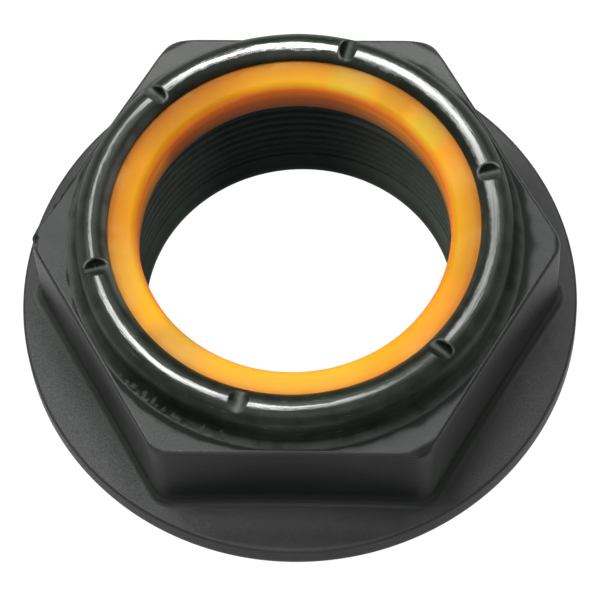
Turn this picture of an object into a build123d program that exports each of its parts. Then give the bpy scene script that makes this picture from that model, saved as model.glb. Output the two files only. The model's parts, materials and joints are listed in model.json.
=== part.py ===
from build123d import *
import math
import os

# Hexagon flange nut with a nylon locking ring rolled into its collar and a serrated bearing face.
# Millimetres, +Z up. The origin is the middle of the bearing face, on the thread's axis.
# Corners of the hexagon lie on +X and -X.

# Driving dimensions

# Thread: metric fine, cut straight through the steel
thread_diameter = 36.0
thread_pitch = 1.5
thread_lead_in = 0.2  # how far the entry cone under the ring opens past the thread's major diameter
hole_break = 0.15  # chamfer where the threaded hole meets the bearing face

# Hexagon, 50 across its flats
hexagon_wall = 7.0  # from the thread's major diameter out to the flats
hexagon_top = 16.25  # above the bearing face
corner_round = 2.2
corner_trim = 1.15  # how far the chamfer's circle lies inside the sharp corners
chamfer_angle = 30.0
hexagon_root_fillet = 0.9

# Flange, 61.5 in diameter
flange_margin = 1.88  # from the hexagon's sharp corners out to the rim
rim_height = 2.8
rim_round = 0.35
flange_slope = 8.0

# Collar, rolled over the ring to an overall height of 21.4
shelf_width = 1.55  # from the hexagon's flats in to the collar's wall
collar_height = 5.15  # above the hexagon's top
collar_wall = 1.95
collar_root_fillet = 1.3
crown_round = 1.75
lip_overhang = 1.5  # from the pocket's wall in to the lip's edge
lip_drop = 0.95  # from the crown's top down to the lip's edge
lip_edge = 0.3
lip_inside_fillet = 0.7

# Locking ring, held in the pocket under the lip
ring_height = 4.5
ring_bite = 0.39  # how far the ring's bore stands inside the thread's minor diameter
ring_clearance = 0.05
ring_top_fall = 0.3  # from the lip's edge down to the ring's inner shoulder
ring_shoulder_round = 1.1
ring_foot_chamfer = 0.2

# Crimps, pressed down across the crown to stop the ring from turning
crimp_count = 6
crimp_width = 2.05  # at the top of the crown
crimp_depth = 0.55
crimp_angle = 15.4  # of the first crimp, from +X

# Serrations, pressed into the bearing face between two plain lands
serration_count = 60
serration_depth = 0.5
inner_land = 2.4
outer_land = 2.75

# Worked out from the driving dimensions

full_turn = 360.0
least_land = 0.2  # the narrowest flat that a fillet leaves beside it
overcut = 1.0  # how far each cutter runs past the face it opens
surface_tolerance = 0.01

major_radius = thread_diameter / 2
minor_radius = major_radius - 0.54127 * thread_pitch  # the standard depth of an internal thread
entry_radius = major_radius + thread_lead_in
entry_angle = 30.0
entry_depth = (entry_radius - minor_radius) * math.tan(math.radians(entry_angle))

flat_radius = major_radius + hexagon_wall
corner_radius = flat_radius / math.cos(math.pi / 6)
chamfer_radius = corner_radius - corner_trim

flange_radius = corner_radius + flange_margin
flange_rise = math.tan(math.radians(flange_slope))
root_fillet = min(hexagon_root_fillet, flange_margin - rim_round - least_land)

collar_radius = flat_radius - shelf_width
pocket_radius = collar_radius - collar_wall
lip_radius = pocket_radius - lip_overhang
overall_height = hexagon_top + collar_height
lip_height = overall_height - lip_drop
lip_underside = lip_height - lip_edge
shelf_fillet = min(collar_root_fillet, shelf_width - least_land)

ring_radius = pocket_radius - ring_clearance
ring_bore_radius = minor_radius - ring_bite
ring_top = lip_underside - ring_clearance
pocket_floor = ring_top - ring_height
shoulder_height = ring_top - ring_top_fall

serration_inner_radius = entry_radius + inner_land
serration_outer_radius = flange_radius - outer_land


def flange_height(radius):
    """Height of the flange's conical top at a radius."""
    return rim_height + (flange_radius - radius) * flange_rise


def turned(*lines):
    """A solid of revolution about the thread's axis, from the closed outline in the XZ plane."""
    outline = make_face(Curve() + list(lines))
    return revolve(Plane.XZ * outline, Axis.Z)


def flange():
    """The flange: a flat face below, a plain rim and a shallow cone above."""
    outline = FilletPolyline(
        (0, 0),
        (flange_radius, 0),
        (flange_radius, rim_height),
        (0, flange_height(0)),
        radius=[0, rim_round, rim_round, 0],
        close=True,
    )
    return turned(outline)


def hexagon():
    """The wrenching hexagon, with rounded corners and a chamfer across its upper corners."""
    base = rim_height / 2
    prism = extrude(Pos(0, 0, base) * RegularPolygon(corner_radius, 6), hexagon_top - base)
    prism = fillet(prism.edges().filter_by(Axis.Z), corner_round)
    reach = corner_radius + overcut
    chamfer_fall = (reach - chamfer_radius) * math.tan(math.radians(chamfer_angle))
    chamfer_cone = turned(
        Polyline(
            (0, base),
            (reach, base),
            (reach, hexagon_top - chamfer_fall),
            (chamfer_radius, hexagon_top),
            (0, hexagon_top),
            close=True,
        )
    )
    return prism & chamfer_cone


def collar():
    """The collar above the hexagon, with its root fillet and the rounded crown of the rolled lip."""
    foot_radius = collar_radius + shelf_fillet
    foot_height = hexagon_top - shelf_fillet
    root_top = hexagon_top + shelf_fillet
    crown_radius = collar_radius - crown_round
    wall_top = overall_height - crown_round
    arc_share = crown_round * math.sqrt(0.5)
    foot = Polyline((0, foot_height), (foot_radius, foot_height), (foot_radius, hexagon_top))
    root = TangentArc((foot_radius, hexagon_top), (collar_radius, root_top), tangent=(-1, 0))
    wall = Line((collar_radius, root_top), (collar_radius, wall_top))
    outer_crown = ThreePointArc(
        (collar_radius, wall_top),
        (crown_radius + arc_share, wall_top + arc_share),
        (crown_radius, overall_height),
    )
    inner_crown = TangentArc(
        (crown_radius, overall_height), (lip_radius, lip_height), tangent=(-1, 0)
    )
    inside = Polyline((lip_radius, lip_height), (0, lip_height), (0, foot_height))
    return turned(foot, root, wall, outer_crown, inner_crown, inside)


def bore():
    """What is cut away inside: the threaded hole with its entry cone and the ring's pocket."""
    outline = FilletPolyline(
        (0, -overcut),
        (minor_radius + hole_break, -overcut),
        (minor_radius + hole_break, 0),
        (minor_radius, hole_break),
        (minor_radius, pocket_floor - entry_depth),
        (entry_radius, pocket_floor),
        (pocket_radius, pocket_floor),
        (pocket_radius, lip_underside),
        (lip_radius, lip_underside),
        (lip_radius, overall_height + overcut),
        (0, overall_height + overcut),
        radius=[0, 0, 0, 0, 0, 0, 0, lip_inside_fillet, 0, 0, 0],
        close=True,
    )
    return turned(outline)


def crimps():
    """Cutters for the crimps: a round bar laid along the radius, evenly round the crown."""
    radius = (crimp_width**2 / 4 + crimp_depth**2) / (2 * crimp_depth)
    length = collar_radius - lip_radius + 2 * overcut
    axis_height = overall_height - crimp_depth + radius
    bar = Cylinder(radius, length, rotation=(0, 90, 0), align=(Align.CENTER, Align.CENTER, Align.MIN))
    cutter = Pos(lip_radius - overcut, 0, axis_height) * bar
    return [Rot(0, 0, crimp_angle + full_turn * i / crimp_count) * cutter for i in range(crimp_count)]


def serrations():
    """Cutters for the serrations: radial grooves with one upright wall and one ramp.

    Each ramp faces the way the nut turns as it is tightened, so the upright walls resist loosening.
    """
    pitch = 2 * math.pi * serration_inner_radius / serration_count
    section = Polyline(
        (0, -overcut),
        (0, serration_depth),
        (pitch, 0),
        (pitch, -overcut),
        close=True,
    )
    length = serration_outer_radius - serration_inner_radius
    start = Pos(serration_inner_radius, 0, 0)
    cutter = start * extrude(Plane.YZ * make_face(section), length)
    return [Rot(0, 0, full_turn * i / serration_count) * cutter for i in range(serration_count)]


def root_edges(blank):
    """The edges where the hexagon's sides and corners meet the flange's cone."""

    def on_root(point):
        radius = math.hypot(point.X, point.Y)
        on_cone = abs(point.Z - flange_height(radius)) < surface_tolerance
        return on_cone and radius < corner_radius

    return [edge for edge in blank.edges() if not edge.is_closed and on_root(edge.center())]


def nut_body():
    """The steel body: flange, hexagon and collar in one piece."""
    blank = flange() + hexagon()
    blank = fillet(root_edges(blank), root_fillet)
    blank = blank + collar()
    return blank - bore() - crimps() - serrations()


def locking_ring():
    """The nylon ring: it sits on the pocket's floor and is held down by the rolled lip."""
    outline = FilletPolyline(
        (ring_bore_radius + ring_foot_chamfer, pocket_floor),
        (ring_radius, pocket_floor),
        (ring_radius, ring_top),
        (lip_radius - ring_clearance, ring_top),
        (ring_bore_radius, shoulder_height),
        (ring_bore_radius, pocket_floor + ring_foot_chamfer),
        radius=[0, 0, lip_inside_fillet, 0, ring_shoulder_round, 0],
        close=True,
    )
    return turned(outline)


def save(solid, name):
    """Writes one named piece as a STEP file and prints its volume."""
    solid.label = name
    export_step(solid, f"parts/{name}.step")
    print(f"{name}: {solid.volume:.1f} mm3")


os.makedirs("parts", exist_ok=True)
save(nut_body(), "nut_body")
save(locking_ring(), "locking_ring")
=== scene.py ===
import json
import logging
import math
from dataclasses import dataclass, field
from enum import Enum
from typing import Iterable, Sequence

import bpy
import numpy as np
from mathutils import Matrix, Vector


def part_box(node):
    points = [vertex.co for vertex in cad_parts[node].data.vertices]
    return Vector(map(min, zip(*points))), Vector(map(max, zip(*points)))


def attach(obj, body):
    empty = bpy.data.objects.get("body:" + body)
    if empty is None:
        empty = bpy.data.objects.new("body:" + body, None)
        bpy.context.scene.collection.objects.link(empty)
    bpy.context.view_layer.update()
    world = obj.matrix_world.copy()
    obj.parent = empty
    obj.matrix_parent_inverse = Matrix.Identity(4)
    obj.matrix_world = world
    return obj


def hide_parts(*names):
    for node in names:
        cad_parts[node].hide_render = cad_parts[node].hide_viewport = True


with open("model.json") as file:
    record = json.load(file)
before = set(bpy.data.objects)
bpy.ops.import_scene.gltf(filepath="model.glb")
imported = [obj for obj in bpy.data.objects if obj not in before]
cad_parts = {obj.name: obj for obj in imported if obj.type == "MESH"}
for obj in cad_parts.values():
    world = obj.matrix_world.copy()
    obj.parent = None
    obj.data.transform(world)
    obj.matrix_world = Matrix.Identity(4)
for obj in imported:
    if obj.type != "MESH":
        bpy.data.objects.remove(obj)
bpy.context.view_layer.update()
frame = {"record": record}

# The looks of a hexagon flange nut with a nylon locking ring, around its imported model.
# Classes hold their sizes in millimetres and degrees; meshes are written in metres.
# Angles round the nut run from +X, where a corner of the hexagon lies, towards +Y.

Colour = tuple[float, float, float, float]
Band = tuple[float, float]
Stations = tuple[tuple[float, float, float], ...]
Socket = bpy.types.NodeSocket

LOG = logging.getLogger("flange_nut")

MM = 0.001
FULL_TURN = 2.0 * math.pi
ROOT_BODY = "root"
BODY_NODE = "nut_body"
RING_NODE = "locking_ring"


class Zone(Enum):
    """Where on the nut a row of the section grid lies."""

    BEARING = 0
    RIM = 1
    CONE = 2
    ROOT = 3
    WALL = 4
    CHAMFER = 5
    SHELF = 6
    COLLAR = 7
    CROWN = 8
    LIP = 9
    POCKET = 10
    BORE = 11


class Hand(Enum):
    """Which way the thread's ridge climbs."""

    RIGHT = 1
    LEFT = -1


class Shape(Enum):
    """The shapes an area lamp can have."""

    SQUARE = "SQUARE"
    RECTANGLE = "RECTANGLE"
    DISK = "DISK"


@dataclass(frozen=True)
class NutFrame:
    """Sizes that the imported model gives, in millimetres."""

    flange_radius: float
    overall_height: float
    ring_radius: float
    ring_floor: float
    ring_top: float
    minor_radius: float
    ring_bore_radius: float

    @classmethod
    def read(cls, record: dict) -> "NutFrame":
        """Reads the boxes of the CAD nodes and the mounts of the record.

        Args:
            record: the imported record.

        Returns:
            The sizes, in millimetres.
        """
        mounts = {mount["name"]: mount for mount in record["mounts"]}
        _, body_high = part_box(BODY_NODE)
        ring_low, ring_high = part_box(RING_NODE)
        return cls(
            flange_radius=body_high.y / MM,
            overall_height=body_high.z / MM,
            ring_radius=ring_high.y / MM,
            ring_floor=ring_low.z / MM,
            ring_top=ring_high.z / MM,
            minor_radius=mounts["thread"]["dims"]["r_mm"],
            ring_bore_radius=mounts["ring_bore"]["dims"]["r_mm"],
        )


def smooth_step(value: np.ndarray, low: float, high: float) -> np.ndarray:
    """A soft step from 0 at low to 1 at high.

    Args:
        value: where the step is read.
        low: the value at which the step starts.
        high: the value at which it has risen to 1.

    Returns:
        The step's height at each value.
    """
    share = np.clip((value - low) / (high - low), 0.0, 1.0)
    return share * share * (3.0 - 2.0 * share)


def soft_least(first: np.ndarray, second: np.ndarray, blend: float) -> np.ndarray:
    """The lesser of two fields, with a rounded change from one to the other.

    Args:
        first: one field.
        second: the other.
        blend: how far apart they are where the rounding starts.

    Returns:
        The blended field.
    """
    share = np.clip(0.5 + 0.5 * (second - first) / blend, 0.0, 1.0)
    return second * (1.0 - share) + first * share - blend * share * (1.0 - share)


def angle_between(theta: np.ndarray, centre: float) -> np.ndarray:
    """The signed angle from centre to each theta, within half a turn, in radians."""
    return (theta - centre + math.pi) % FULL_TURN - math.pi


def carried_round(
    theta: np.ndarray, angles: Sequence[float], values: Sequence[float]
) -> np.ndarray:
    """Values given at some angles in degrees, carried round to each theta."""
    return np.interp(theta, np.radians(angles), values, period=FULL_TURN)


def band_step(value: np.ndarray, band: Band) -> np.ndarray:
    """A soft step from 0 at the band's start to 1 at its end."""
    return smooth_step(value, *band)


@dataclass(frozen=True)
class Stretch:
    """A stretch round the nut: its middle, the degrees at which it is full and gone, its strength."""

    angle: float
    full: float
    gone: float
    strength: float = 1.0

    def at(self, theta: np.ndarray) -> np.ndarray:
        """How strong the stretch is at some angles.

        Args:
            theta: the angles, in radians.

        Returns:
            The strength near the middle, falling to 0.
        """
        apart = np.degrees(np.abs(angle_between(theta, math.radians(self.angle))))
        return self.strength * (1.0 - smooth_step(apart, self.full, self.gone))


@dataclass(frozen=True)
class Ripple:
    """A smooth uneven field on the surface: a sum of waves with seeded directions and phases."""

    seed: int
    wave_length: float
    waves: int = 24

    def at(self, x: np.ndarray, y: np.ndarray, z: np.ndarray) -> np.ndarray:
        """The field at points given in millimetres.

        Args:
            x: distances along X.
            y: distances along Y.
            z: heights.

        Returns:
            Values with a mean near 0 and a spread near 1.
        """
        draw = np.random.default_rng(self.seed)
        total = np.zeros_like(x)
        for _ in range(self.waves):
            direction = draw.normal(size=3)
            direction /= np.linalg.norm(direction)
            pitch = self.wave_length * draw.uniform(0.6, 1.7)
            phase = draw.uniform(0.0, FULL_TURN)
            run = x * direction[0] + y * direction[1] + z * direction[2]
            total += np.sin(run * FULL_TURN / pitch + phase)
        return total * math.sqrt(2.0 / self.waves)


@dataclass
class SectionRow:
    """One row of the grid: a radius, a height and a tilt for each column."""

    radius: np.ndarray
    height: np.ndarray
    zone: Zone
    tilt: float = 90.0


@dataclass(frozen=True)
class CrimpMark:
    """One crimp: where the punch struck, how wide and deep, how it fell, how bare its floor is, and
    which side its painted shadow lies on.
    """

    angle: float
    width: float
    depth: float
    fall: float = 0.0
    skew: float = 0.0
    shine: float = 0.35
    turn: float = 0.0

    def floor(self, aside: np.ndarray, along: np.ndarray) -> np.ndarray:
        """How far above the crimp's deepest line its surface lies.

        Args:
            aside: distances round the crown from the crimp's middle.
            along: distances outward from the crown's top line.

        Returns:
            Heights above the deepest line.
        """
        radius = (self.width**2 / 4.0 + self.depth**2) / (2.0 * self.depth)
        across = np.abs(aside - self.skew * along)
        bowl = radius - np.sqrt(np.maximum(radius**2 - across**2, 0.0))
        return np.where(across < radius, bowl, radius + (across - radius)) - self.fall * along


@dataclass(frozen=True)
class RubHighlightStation:
    """How bright the crown's rub band is at one angle, bare metal and painted highlight together: the
    band's middle tilt, its half-width, how bright.
    """

    angle: float
    middle: float
    reach: float
    strength: float


@dataclass
class ForgedBody:
    """The steel body as one closed grid of section rows and angular columns."""

    sizes: NutFrame
    columns: int = 740
    flat_radius: float = 25.0
    hexagon_top: float = 16.25
    corner_round: float = 2.2
    # Each corner's angle, and how far the chamfer's circle lies inside the sharp corner
    corner_trims: tuple[tuple[float, float], ...] = (
        (0.0, 0.8),
        (60.0, 1.15),
        (120.0, 1.15),
        (180.0, 0.8),
        (240.0, 0.7),
        (300.0, 1.15),
    )
    chamfer_slope: float = 30.0
    edge_round: float = 0.4
    chamfer_soften: float = 0.2
    root_fillet: float = 0.9
    rim_height: float = 2.8
    rim_round: float = 0.35
    flange_slope: float = 8.0
    collar_radius: float = 23.45
    collar_root_fillet: float = 1.3
    crown_round: float = 1.75
    lip_radius: float = 20.0
    lip_drop: float = 0.95
    lip_edge: float = 0.3
    lip_inside_fillet: float = 0.7
    pocket_radius: float = 21.5
    bore_radius: float = 18.0
    entry_radius: float = 18.2
    entry_angle: float = 30.0
    serration_inner_radius: float = 20.6
    serration_outer_radius: float = 28.0
    serration_depth: float = 0.5
    crimp_soften: float = 0.14
    burr_width: float = 0.34
    burr_height: float = 0.13
    burr_rows: float = 0.62
    row_gap: float = 0.04
    hole_break: float = 0.15
    plain_land: float = 1.1
    bearing_break: float = 0.03
    foot_rise: float = 0.4
    dent_depth: float = 0.5
    knocked_corner: Stretch = Stretch(180.0, 0.8, 3.2)
    knocked_side: Stretch = Stretch(167.5, 3.0, 8.0, 0.45)
    knock_heights: Band = (13.6, 15.9)
    knock_radii: Band = (25.2, 26.6)
    knock_raggedness: Band = (-0.7, 1.3)
    # Painted shade: on the knocked edge, on the cone in front, round the root, up the sides, on the rim
    # and along the top edges
    chip_shade: Stretch = Stretch(167.0, 3.5, 6.0)
    chip_shade_band: Band = (-0.6, -0.35)
    shaded_front: Stretch = Stretch(270.0, 12.0, 42.0, 0.5)
    shaded_front_band: Band = (1.0, 3.4)
    shaded_cone_band: Band = (0.0, 4.5)
    shaded_foot_band: Band = (0.5, 5.0)
    shaded_rim_band: Band = (2.45, 2.7)
    shaded_edge_band: Band = (0.01, 0.15)
    rim_foot: float = 0.33
    crescent_reach: float = 0.6
    crescent_trim: float = 0.4
    crescent_band: Band = (-0.05, 0.3)
    # Painted light on the cone in front, close to the root
    lit_front: Stretch = Stretch(270.0, 14.0, 34.0, 0.5)
    lit_front_band: Band = (-0.1, 1.4)
    lit_root_band: Band = (-0.4, 0.3)
    # Painted light on the collar's foot and the crown's slopes, strongest on the right, the left and in
    # front
    collar_light_right: Stretch = Stretch(335.0, 30.0, 55.0, 0.24)
    collar_light_left: Stretch = Stretch(180.0, 22.0, 48.0, 0.36)
    collar_light_front: Stretch = Stretch(270.0, 16.0, 36.0, 0.8)
    collar_light_foot_band: Band = (0.12, 0.55)
    collar_light_outer_tilt: Band = (15.0, 40.0)
    collar_light_inner_tilt: Band = (25.0, 45.0)
    # Painted light along the top edge, on the rim's top and on the cone in front
    pale_corner: Stretch = Stretch(232.0, 20.0, 50.0, 0.4)
    pale_front: Stretch = Stretch(270.0, 14.0, 40.0, 0.75)
    pale_front_band: Band = (0.4, 2.6)
    pale_rim_band: Band = (2.3, 2.6)
    pale_edge_start: Band = (0.01, 0.12)
    pale_edge_end: Band = (0.7, 1.3)
    worn_corner: Stretch = Stretch(245.0, 10.0, 34.0, 0.45)
    dull_crown: Stretch = Stretch(200.0, 25.0, 60.0, 0.35)
    crown_wave: float = 0.016
    crown_sink: float = 0.02
    crown_ripple: Ripple = Ripple(31, 4.5)
    burr_edge: Ripple = Ripple(11, 0.9)
    burr_scales: Ripple = Ripple(12, 0.8)
    shelf_ripple: Ripple = Ripple(13, 2.6)
    knock_ripple: Ripple = Ripple(21, 1.5)
    raggedness: float = 0.16
    burr_line: float = 0.62
    scale_band: Band = (-0.6, 0.5)
    pale_collar_flakes: Band = (0.02, 0.07)
    pale_flakes: Band = (0.03, 0.10)
    worn_flakes: Band = (0.02, 0.08)
    crimp_span: float = 12.0
    mark_span: float = 8.0
    unrubbed_depths: Band = (0.0, 0.12)
    crimped_depths: Band = (0.0, 0.1)
    # The painted shadow under one edge of each crimp, and the painted highlight along that edge
    crimp_shadow_depths: Band = (0.08, 0.25)
    crimp_shadow_sides: Band = (-0.04, 0.18)
    line_start: Band = (0.0, 0.04)
    line_end: Band = (0.08, 0.18)
    line_sides: Band = (0.12, 0.3)
    gloss_tilt: float = -10.0
    gloss_band: Band = (-75.0, -35.0)
    crimps: tuple[CrimpMark, ...] = (
        CrimpMark(16.1, 2.15, 0.58, 0.02),
        CrimpMark(75.6, 2.0, 0.60, 0.03, 0.0, 0.2, 110.0),
        CrimpMark(135.0, 1.9, 0.55, 0.02, 0.1, 0.9),
        CrimpMark(195.3, 2.05, 0.62, -0.02),
        CrimpMark(256.0, 2.1, 0.52, 0.05, 0.0, 0.9, 166.0),
        CrimpMark(316.6, 2.0, 0.60, 0.06, 0.15, 0.9),
    )
    # The crest's rub band: bare metal, and a painted highlight whose place and strength follow the
    # light round the crown
    rub_highlights: tuple[RubHighlightStation, ...] = (
        RubHighlightStation(0.0, -8.0, 10.0, 0.2),
        RubHighlightStation(20.0, -14.0, 13.0, 0.36),
        RubHighlightStation(45.0, -12.0, 14.0, 0.6),
        RubHighlightStation(72.0, -12.0, 12.0, 0.55),
        RubHighlightStation(80.0, -12.0, 9.0, 1.0),
        RubHighlightStation(110.0, -12.0, 8.5, 1.0),
        RubHighlightStation(132.0, -8.0, 8.0, 0.5),
        RubHighlightStation(148.0, 1.0, 4.5, 0.3),
        RubHighlightStation(192.0, 3.0, 4.5, 0.3),
        RubHighlightStation(204.0, 8.0, 8.0, 0.4),
        RubHighlightStation(228.0, 9.0, 8.0, 0.57),
        RubHighlightStation(250.0, 7.0, 7.0, 0.5),
        RubHighlightStation(264.0, 9.0, 7.0, 0.55),
        RubHighlightStation(282.0, 8.0, 6.0, 0.45),
        RubHighlightStation(296.0, 6.0, 4.5, 0.25),
        RubHighlightStation(306.0, 4.0, 3.5, 0.1),
        RubHighlightStation(312.0, 2.0, 3.0, 0.05),
        RubHighlightStation(322.0, -5.0, 8.0, 0.3),
        RubHighlightStation(345.0, -7.0, 10.0, 0.26),
    )
    # Angle, painted shade all over the hexagon's side, and how much more at its foot
    side_shade: Stations = (
        (30.0, 0.9, 0.05),
        (90.0, 0.7, 0.05),
        (150.0, 0.6, 0.0),
        (184.0, 0.74, 0.0),
        (192.0, 0.68, 0.0),
        (200.0, 0.62, 0.0),
        (225.0, 0.6, 0.0),
        (236.0, 0.75, 0.0),
        (245.0, 0.8, 0.0),
        (255.0, 0.72, 0.05),
        (285.0, 0.70, 0.05),
        (296.0, 0.88, 0.05),
        (304.0, 0.75, 0.05),
        (318.0, 0.55, 0.05),
        (338.0, 0.66, 0.0),
        (347.0, 0.74, 0.0),
        (356.0, 0.74, 0.0),
    )
    # Angle, painted light at the foot of the hexagon's side, and how far up it reaches
    side_light: Stations = (
        (30.0, 0.4, 6.0),
        (90.0, 0.3, 4.0),
        (150.0, 0.3, 4.0),
        (184.0, 0.5, 2.5),
        (192.0, 0.75, 8.0),
        (200.0, 0.8, 9.0),
        (210.0, 0.6, 8.0),
        (220.0, 0.55, 7.5),
        (228.0, 0.75, 11.0),
        (237.0, 0.85, 11.5),
        (243.0, 0.15, 3.0),
        (297.0, 0.12, 3.0),
        (303.0, 0.9, 11.5),
        (312.0, 0.75, 11.0),
        (330.0, 0.65, 10.5),
        (340.0, 0.6, 8.0),
        (348.0, 0.6, 6.0),
        (357.0, 0.55, 3.0),
    )
    # Angle, painted light in the hexagon's root, and painted shade on and round it
    root_light_and_shade: Stations = (
        (30.0, 0.35, 0.4),
        (90.0, 0.35, 0.4),
        (150.0, 0.35, 0.4),
        (184.0, 0.5, 0.3),
        (192.0, 0.48, 0.4),
        (205.0, 0.42, 0.5),
        (215.0, 0.42, 0.4),
        (232.0, 0.4, 0.35),
        (245.0, 0.3, 0.0),
        (270.0, 0.35, 0.0),
        (295.0, 0.3, 0.0),
        (305.0, 0.4, 0.6),
        (325.0, 0.4, 0.45),
        (340.0, 0.45, 0.25),
        (355.0, 0.45, 0.15),
    )
    # Angle, how far out from the collar's foot its painted shade starts to fade, and over what distance
    foot_shade: Stations = (
        (0.0, 0.3, 1.0),
        (30.0, 0.1, 0.7),
        (60.0, 0.25, 0.7),
        (90.0, 0.1, 0.5),
        (120.0, 0.25, 0.7),
        (150.0, 0.0, 0.5),
        (180.0, -0.25, 0.3),
        (215.0, 0.05, 0.5),
        (232.0, 0.45, 0.4),
        (248.0, 0.4, 0.4),
        (270.0, -0.15, 0.25),
        (300.0, 0.2, 0.8),
        (330.0, 0.3, 1.2),
    )
    burr_runs: tuple[Stretch, ...] = (
        Stretch(238.0, 12.0, 20.0),
        Stretch(300.0, 7.2, 12.0, 0.3),
    )
    theta: np.ndarray = field(init=False)
    wall_radius: np.ndarray = field(init=False)
    wall_cosine: np.ndarray = field(init=False)
    chamfer_radius: np.ndarray = field(init=False)

    def __post_init__(self) -> None:
        """Spaces the columns and works out the hexagon's outline at each."""
        self.theta = self.column_angles()
        self.wall_radius, self.wall_cosine = self.hexagon_outline(self.theta)
        self.chamfer_radius = self.chamfer_circle(self.theta)

    def column_angles(self) -> np.ndarray:
        """The columns' angles, closer together at the corners and the crimps.

        Returns:
            Angles in radians, rising from 0 to just under a full turn.
        """
        fine = np.linspace(0.0, FULL_TURN, 36001)
        density = np.ones_like(fine)
        for corner, _ in self.corner_trims:
            density += Stretch(corner, 1.4, 2.6, 1.3).at(fine)
        for crimp in self.crimps:
            density += Stretch(crimp.angle, 3.2, 4.4, 2.6).at(fine)
        burr = self.burr_runs[0]
        density += Stretch(burr.angle, burr.gone, burr.gone + 4.0, 0.8).at(fine)
        reached = np.concatenate([[0.0], np.cumsum((density[1:] + density[:-1]) / 2.0)])
        steps = np.arange(self.columns) / self.columns * reached[-1]
        return np.interp(steps, reached, fine)

    def hexagon_outline(self, theta: np.ndarray) -> tuple[np.ndarray, np.ndarray]:
        """The hexagon's outline with its rounded corners.

        Args:
            theta: angles in radians.

        Returns:
            The outline's radius at each angle, and the cosine between its normal and the radius.
        """
        sector = math.pi / 3.0
        off_corner = np.abs((theta + sector / 2.0) % sector - sector / 2.0)
        off_flat = sector / 2.0 - off_corner
        centre = (self.flat_radius - self.corner_round) / math.cos(math.pi / 6.0)
        reach = centre * np.sin(off_corner)
        inside = np.sqrt(np.maximum(self.corner_round**2 - reach**2, 0.0))
        tangent_run = (self.flat_radius - self.corner_round) * math.tan(math.pi / 6.0)
        rounded = off_flat > math.atan(tangent_run / self.flat_radius)
        radius = np.where(
            rounded, centre * np.cos(off_corner) + inside, self.flat_radius / np.cos(off_flat)
        )
        cosine = np.where(rounded, inside / self.corner_round, np.cos(off_flat))
        return radius, cosine

    def chamfer_circle(self, theta: np.ndarray) -> np.ndarray:
        """The radius at which the chamfer meets the shelf, a little uneven from corner to corner.

        Args:
            theta: angles in radians.

        Returns:
            The chamfer's radius at each angle.
        """
        corners, trims = zip(*self.corner_trims)
        sharp = self.flat_radius / math.cos(math.pi / 6.0)
        return sharp - carried_round(theta, corners, trims)

    def along(self, stretch: Stretch) -> np.ndarray:
        """How strong a stretch round the nut is at each column."""
        return stretch.at(self.theta)

    def beyond_root(self, radius: np.ndarray) -> np.ndarray:
        """How far outside the root fillet each point lies, square to the hexagon's side."""
        return (radius - self.wall_radius) * self.wall_cosine - self.root_fillet

    def up_side(self, height: np.ndarray) -> np.ndarray:
        """How far up the hexagon's side each point lies from the root fillet."""
        return height - self.cone_height(self.wall_radius) - self.foot_rise

    @property
    def shelf_foot(self) -> float:
        """Where the collar's root fillet meets the shelf."""
        return self.collar_radius + self.collar_root_fillet

    @property
    def entry_fall(self) -> float:
        """How deep the entry cone under the ring is."""
        return (self.entry_radius - self.bore_radius) * math.tan(math.radians(self.entry_angle))

    def row(self, radius: object, height: object, zone: Zone, tilt: float = 90.0) -> SectionRow:
        """A row with its radius and height spread over all columns."""
        full = np.ones(self.columns)
        return SectionRow(full * radius, full * height, zone, tilt)

    def cone_height(self, radius: np.ndarray) -> np.ndarray:
        """The height of the flange's conical top at a radius."""
        slope = math.tan(math.radians(self.flange_slope))
        return self.rim_height + (self.sizes.flange_radius - radius) * slope

    def bearing_rows(self) -> list[SectionRow]:
        """The bearing face: an inner land, the recess that the serrations stand in, an outer land.

        Returns:
            The rows, in order.
        """
        inner, outer = self.serration_inner_radius, self.serration_outer_radius
        depth, edge = self.serration_depth, self.bearing_break
        outline = [
            (self.sizes.minor_radius + self.hole_break, 0.0),
            (inner - edge, 0.0),
            (inner, edge),
            (inner, depth),
            ((inner + outer) / 2.0, depth),
            (outer, depth),
            (outer, edge),
            (outer + edge, 0.0),
        ]
        return [self.row(radius, height, Zone.BEARING) for radius, height in outline]

    def rim_rows(self) -> list[SectionRow]:
        """The flange's rim, rounded into the bearing face below and the cone above.

        Returns:
            The rows, in order.
        """
        rim, bend = self.sizes.flange_radius, self.rim_round
        slope = math.radians(self.flange_slope)
        rows = []
        for step in np.linspace(-90.0, 0.0, 5):
            turn = math.radians(step)
            radius = rim - bend + bend * math.cos(turn)
            rows.append(self.row(radius, bend + bend * math.sin(turn), Zone.RIM))
        centre = self.rim_height + bend * math.tan(slope) - bend / math.cos(slope)
        for share in (0.3, 0.6, 0.85):
            rows.append(self.row(rim, bend + (centre - bend) * share, Zone.RIM))
        for step in np.linspace(0.0, 90.0 - self.flange_slope, 5):
            turn = math.radians(step)
            radius = rim - bend + bend * math.cos(turn)
            rows.append(self.row(radius, centre + bend * math.sin(turn), Zone.RIM))
        return rows

    def root_offsets(self, count: int) -> list[tuple[float, float]]:
        """The root fillet between the hexagon's side and the cone.

        Args:
            count: how many points along the fillet.

        Returns:
            Pairs of distance out from the side and height above the cone, from the cone up.
        """
        slope = math.radians(self.flange_slope)
        bend = self.root_fillet
        centre = bend / math.cos(slope) - bend * math.tan(slope)
        pairs = []
        for turn in np.linspace(1.5 * math.pi - slope, math.pi, count):
            out = bend + bend * math.cos(turn)
            pairs.append((out, centre + bend * math.sin(turn) + out * math.tan(slope)))
        return pairs

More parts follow.
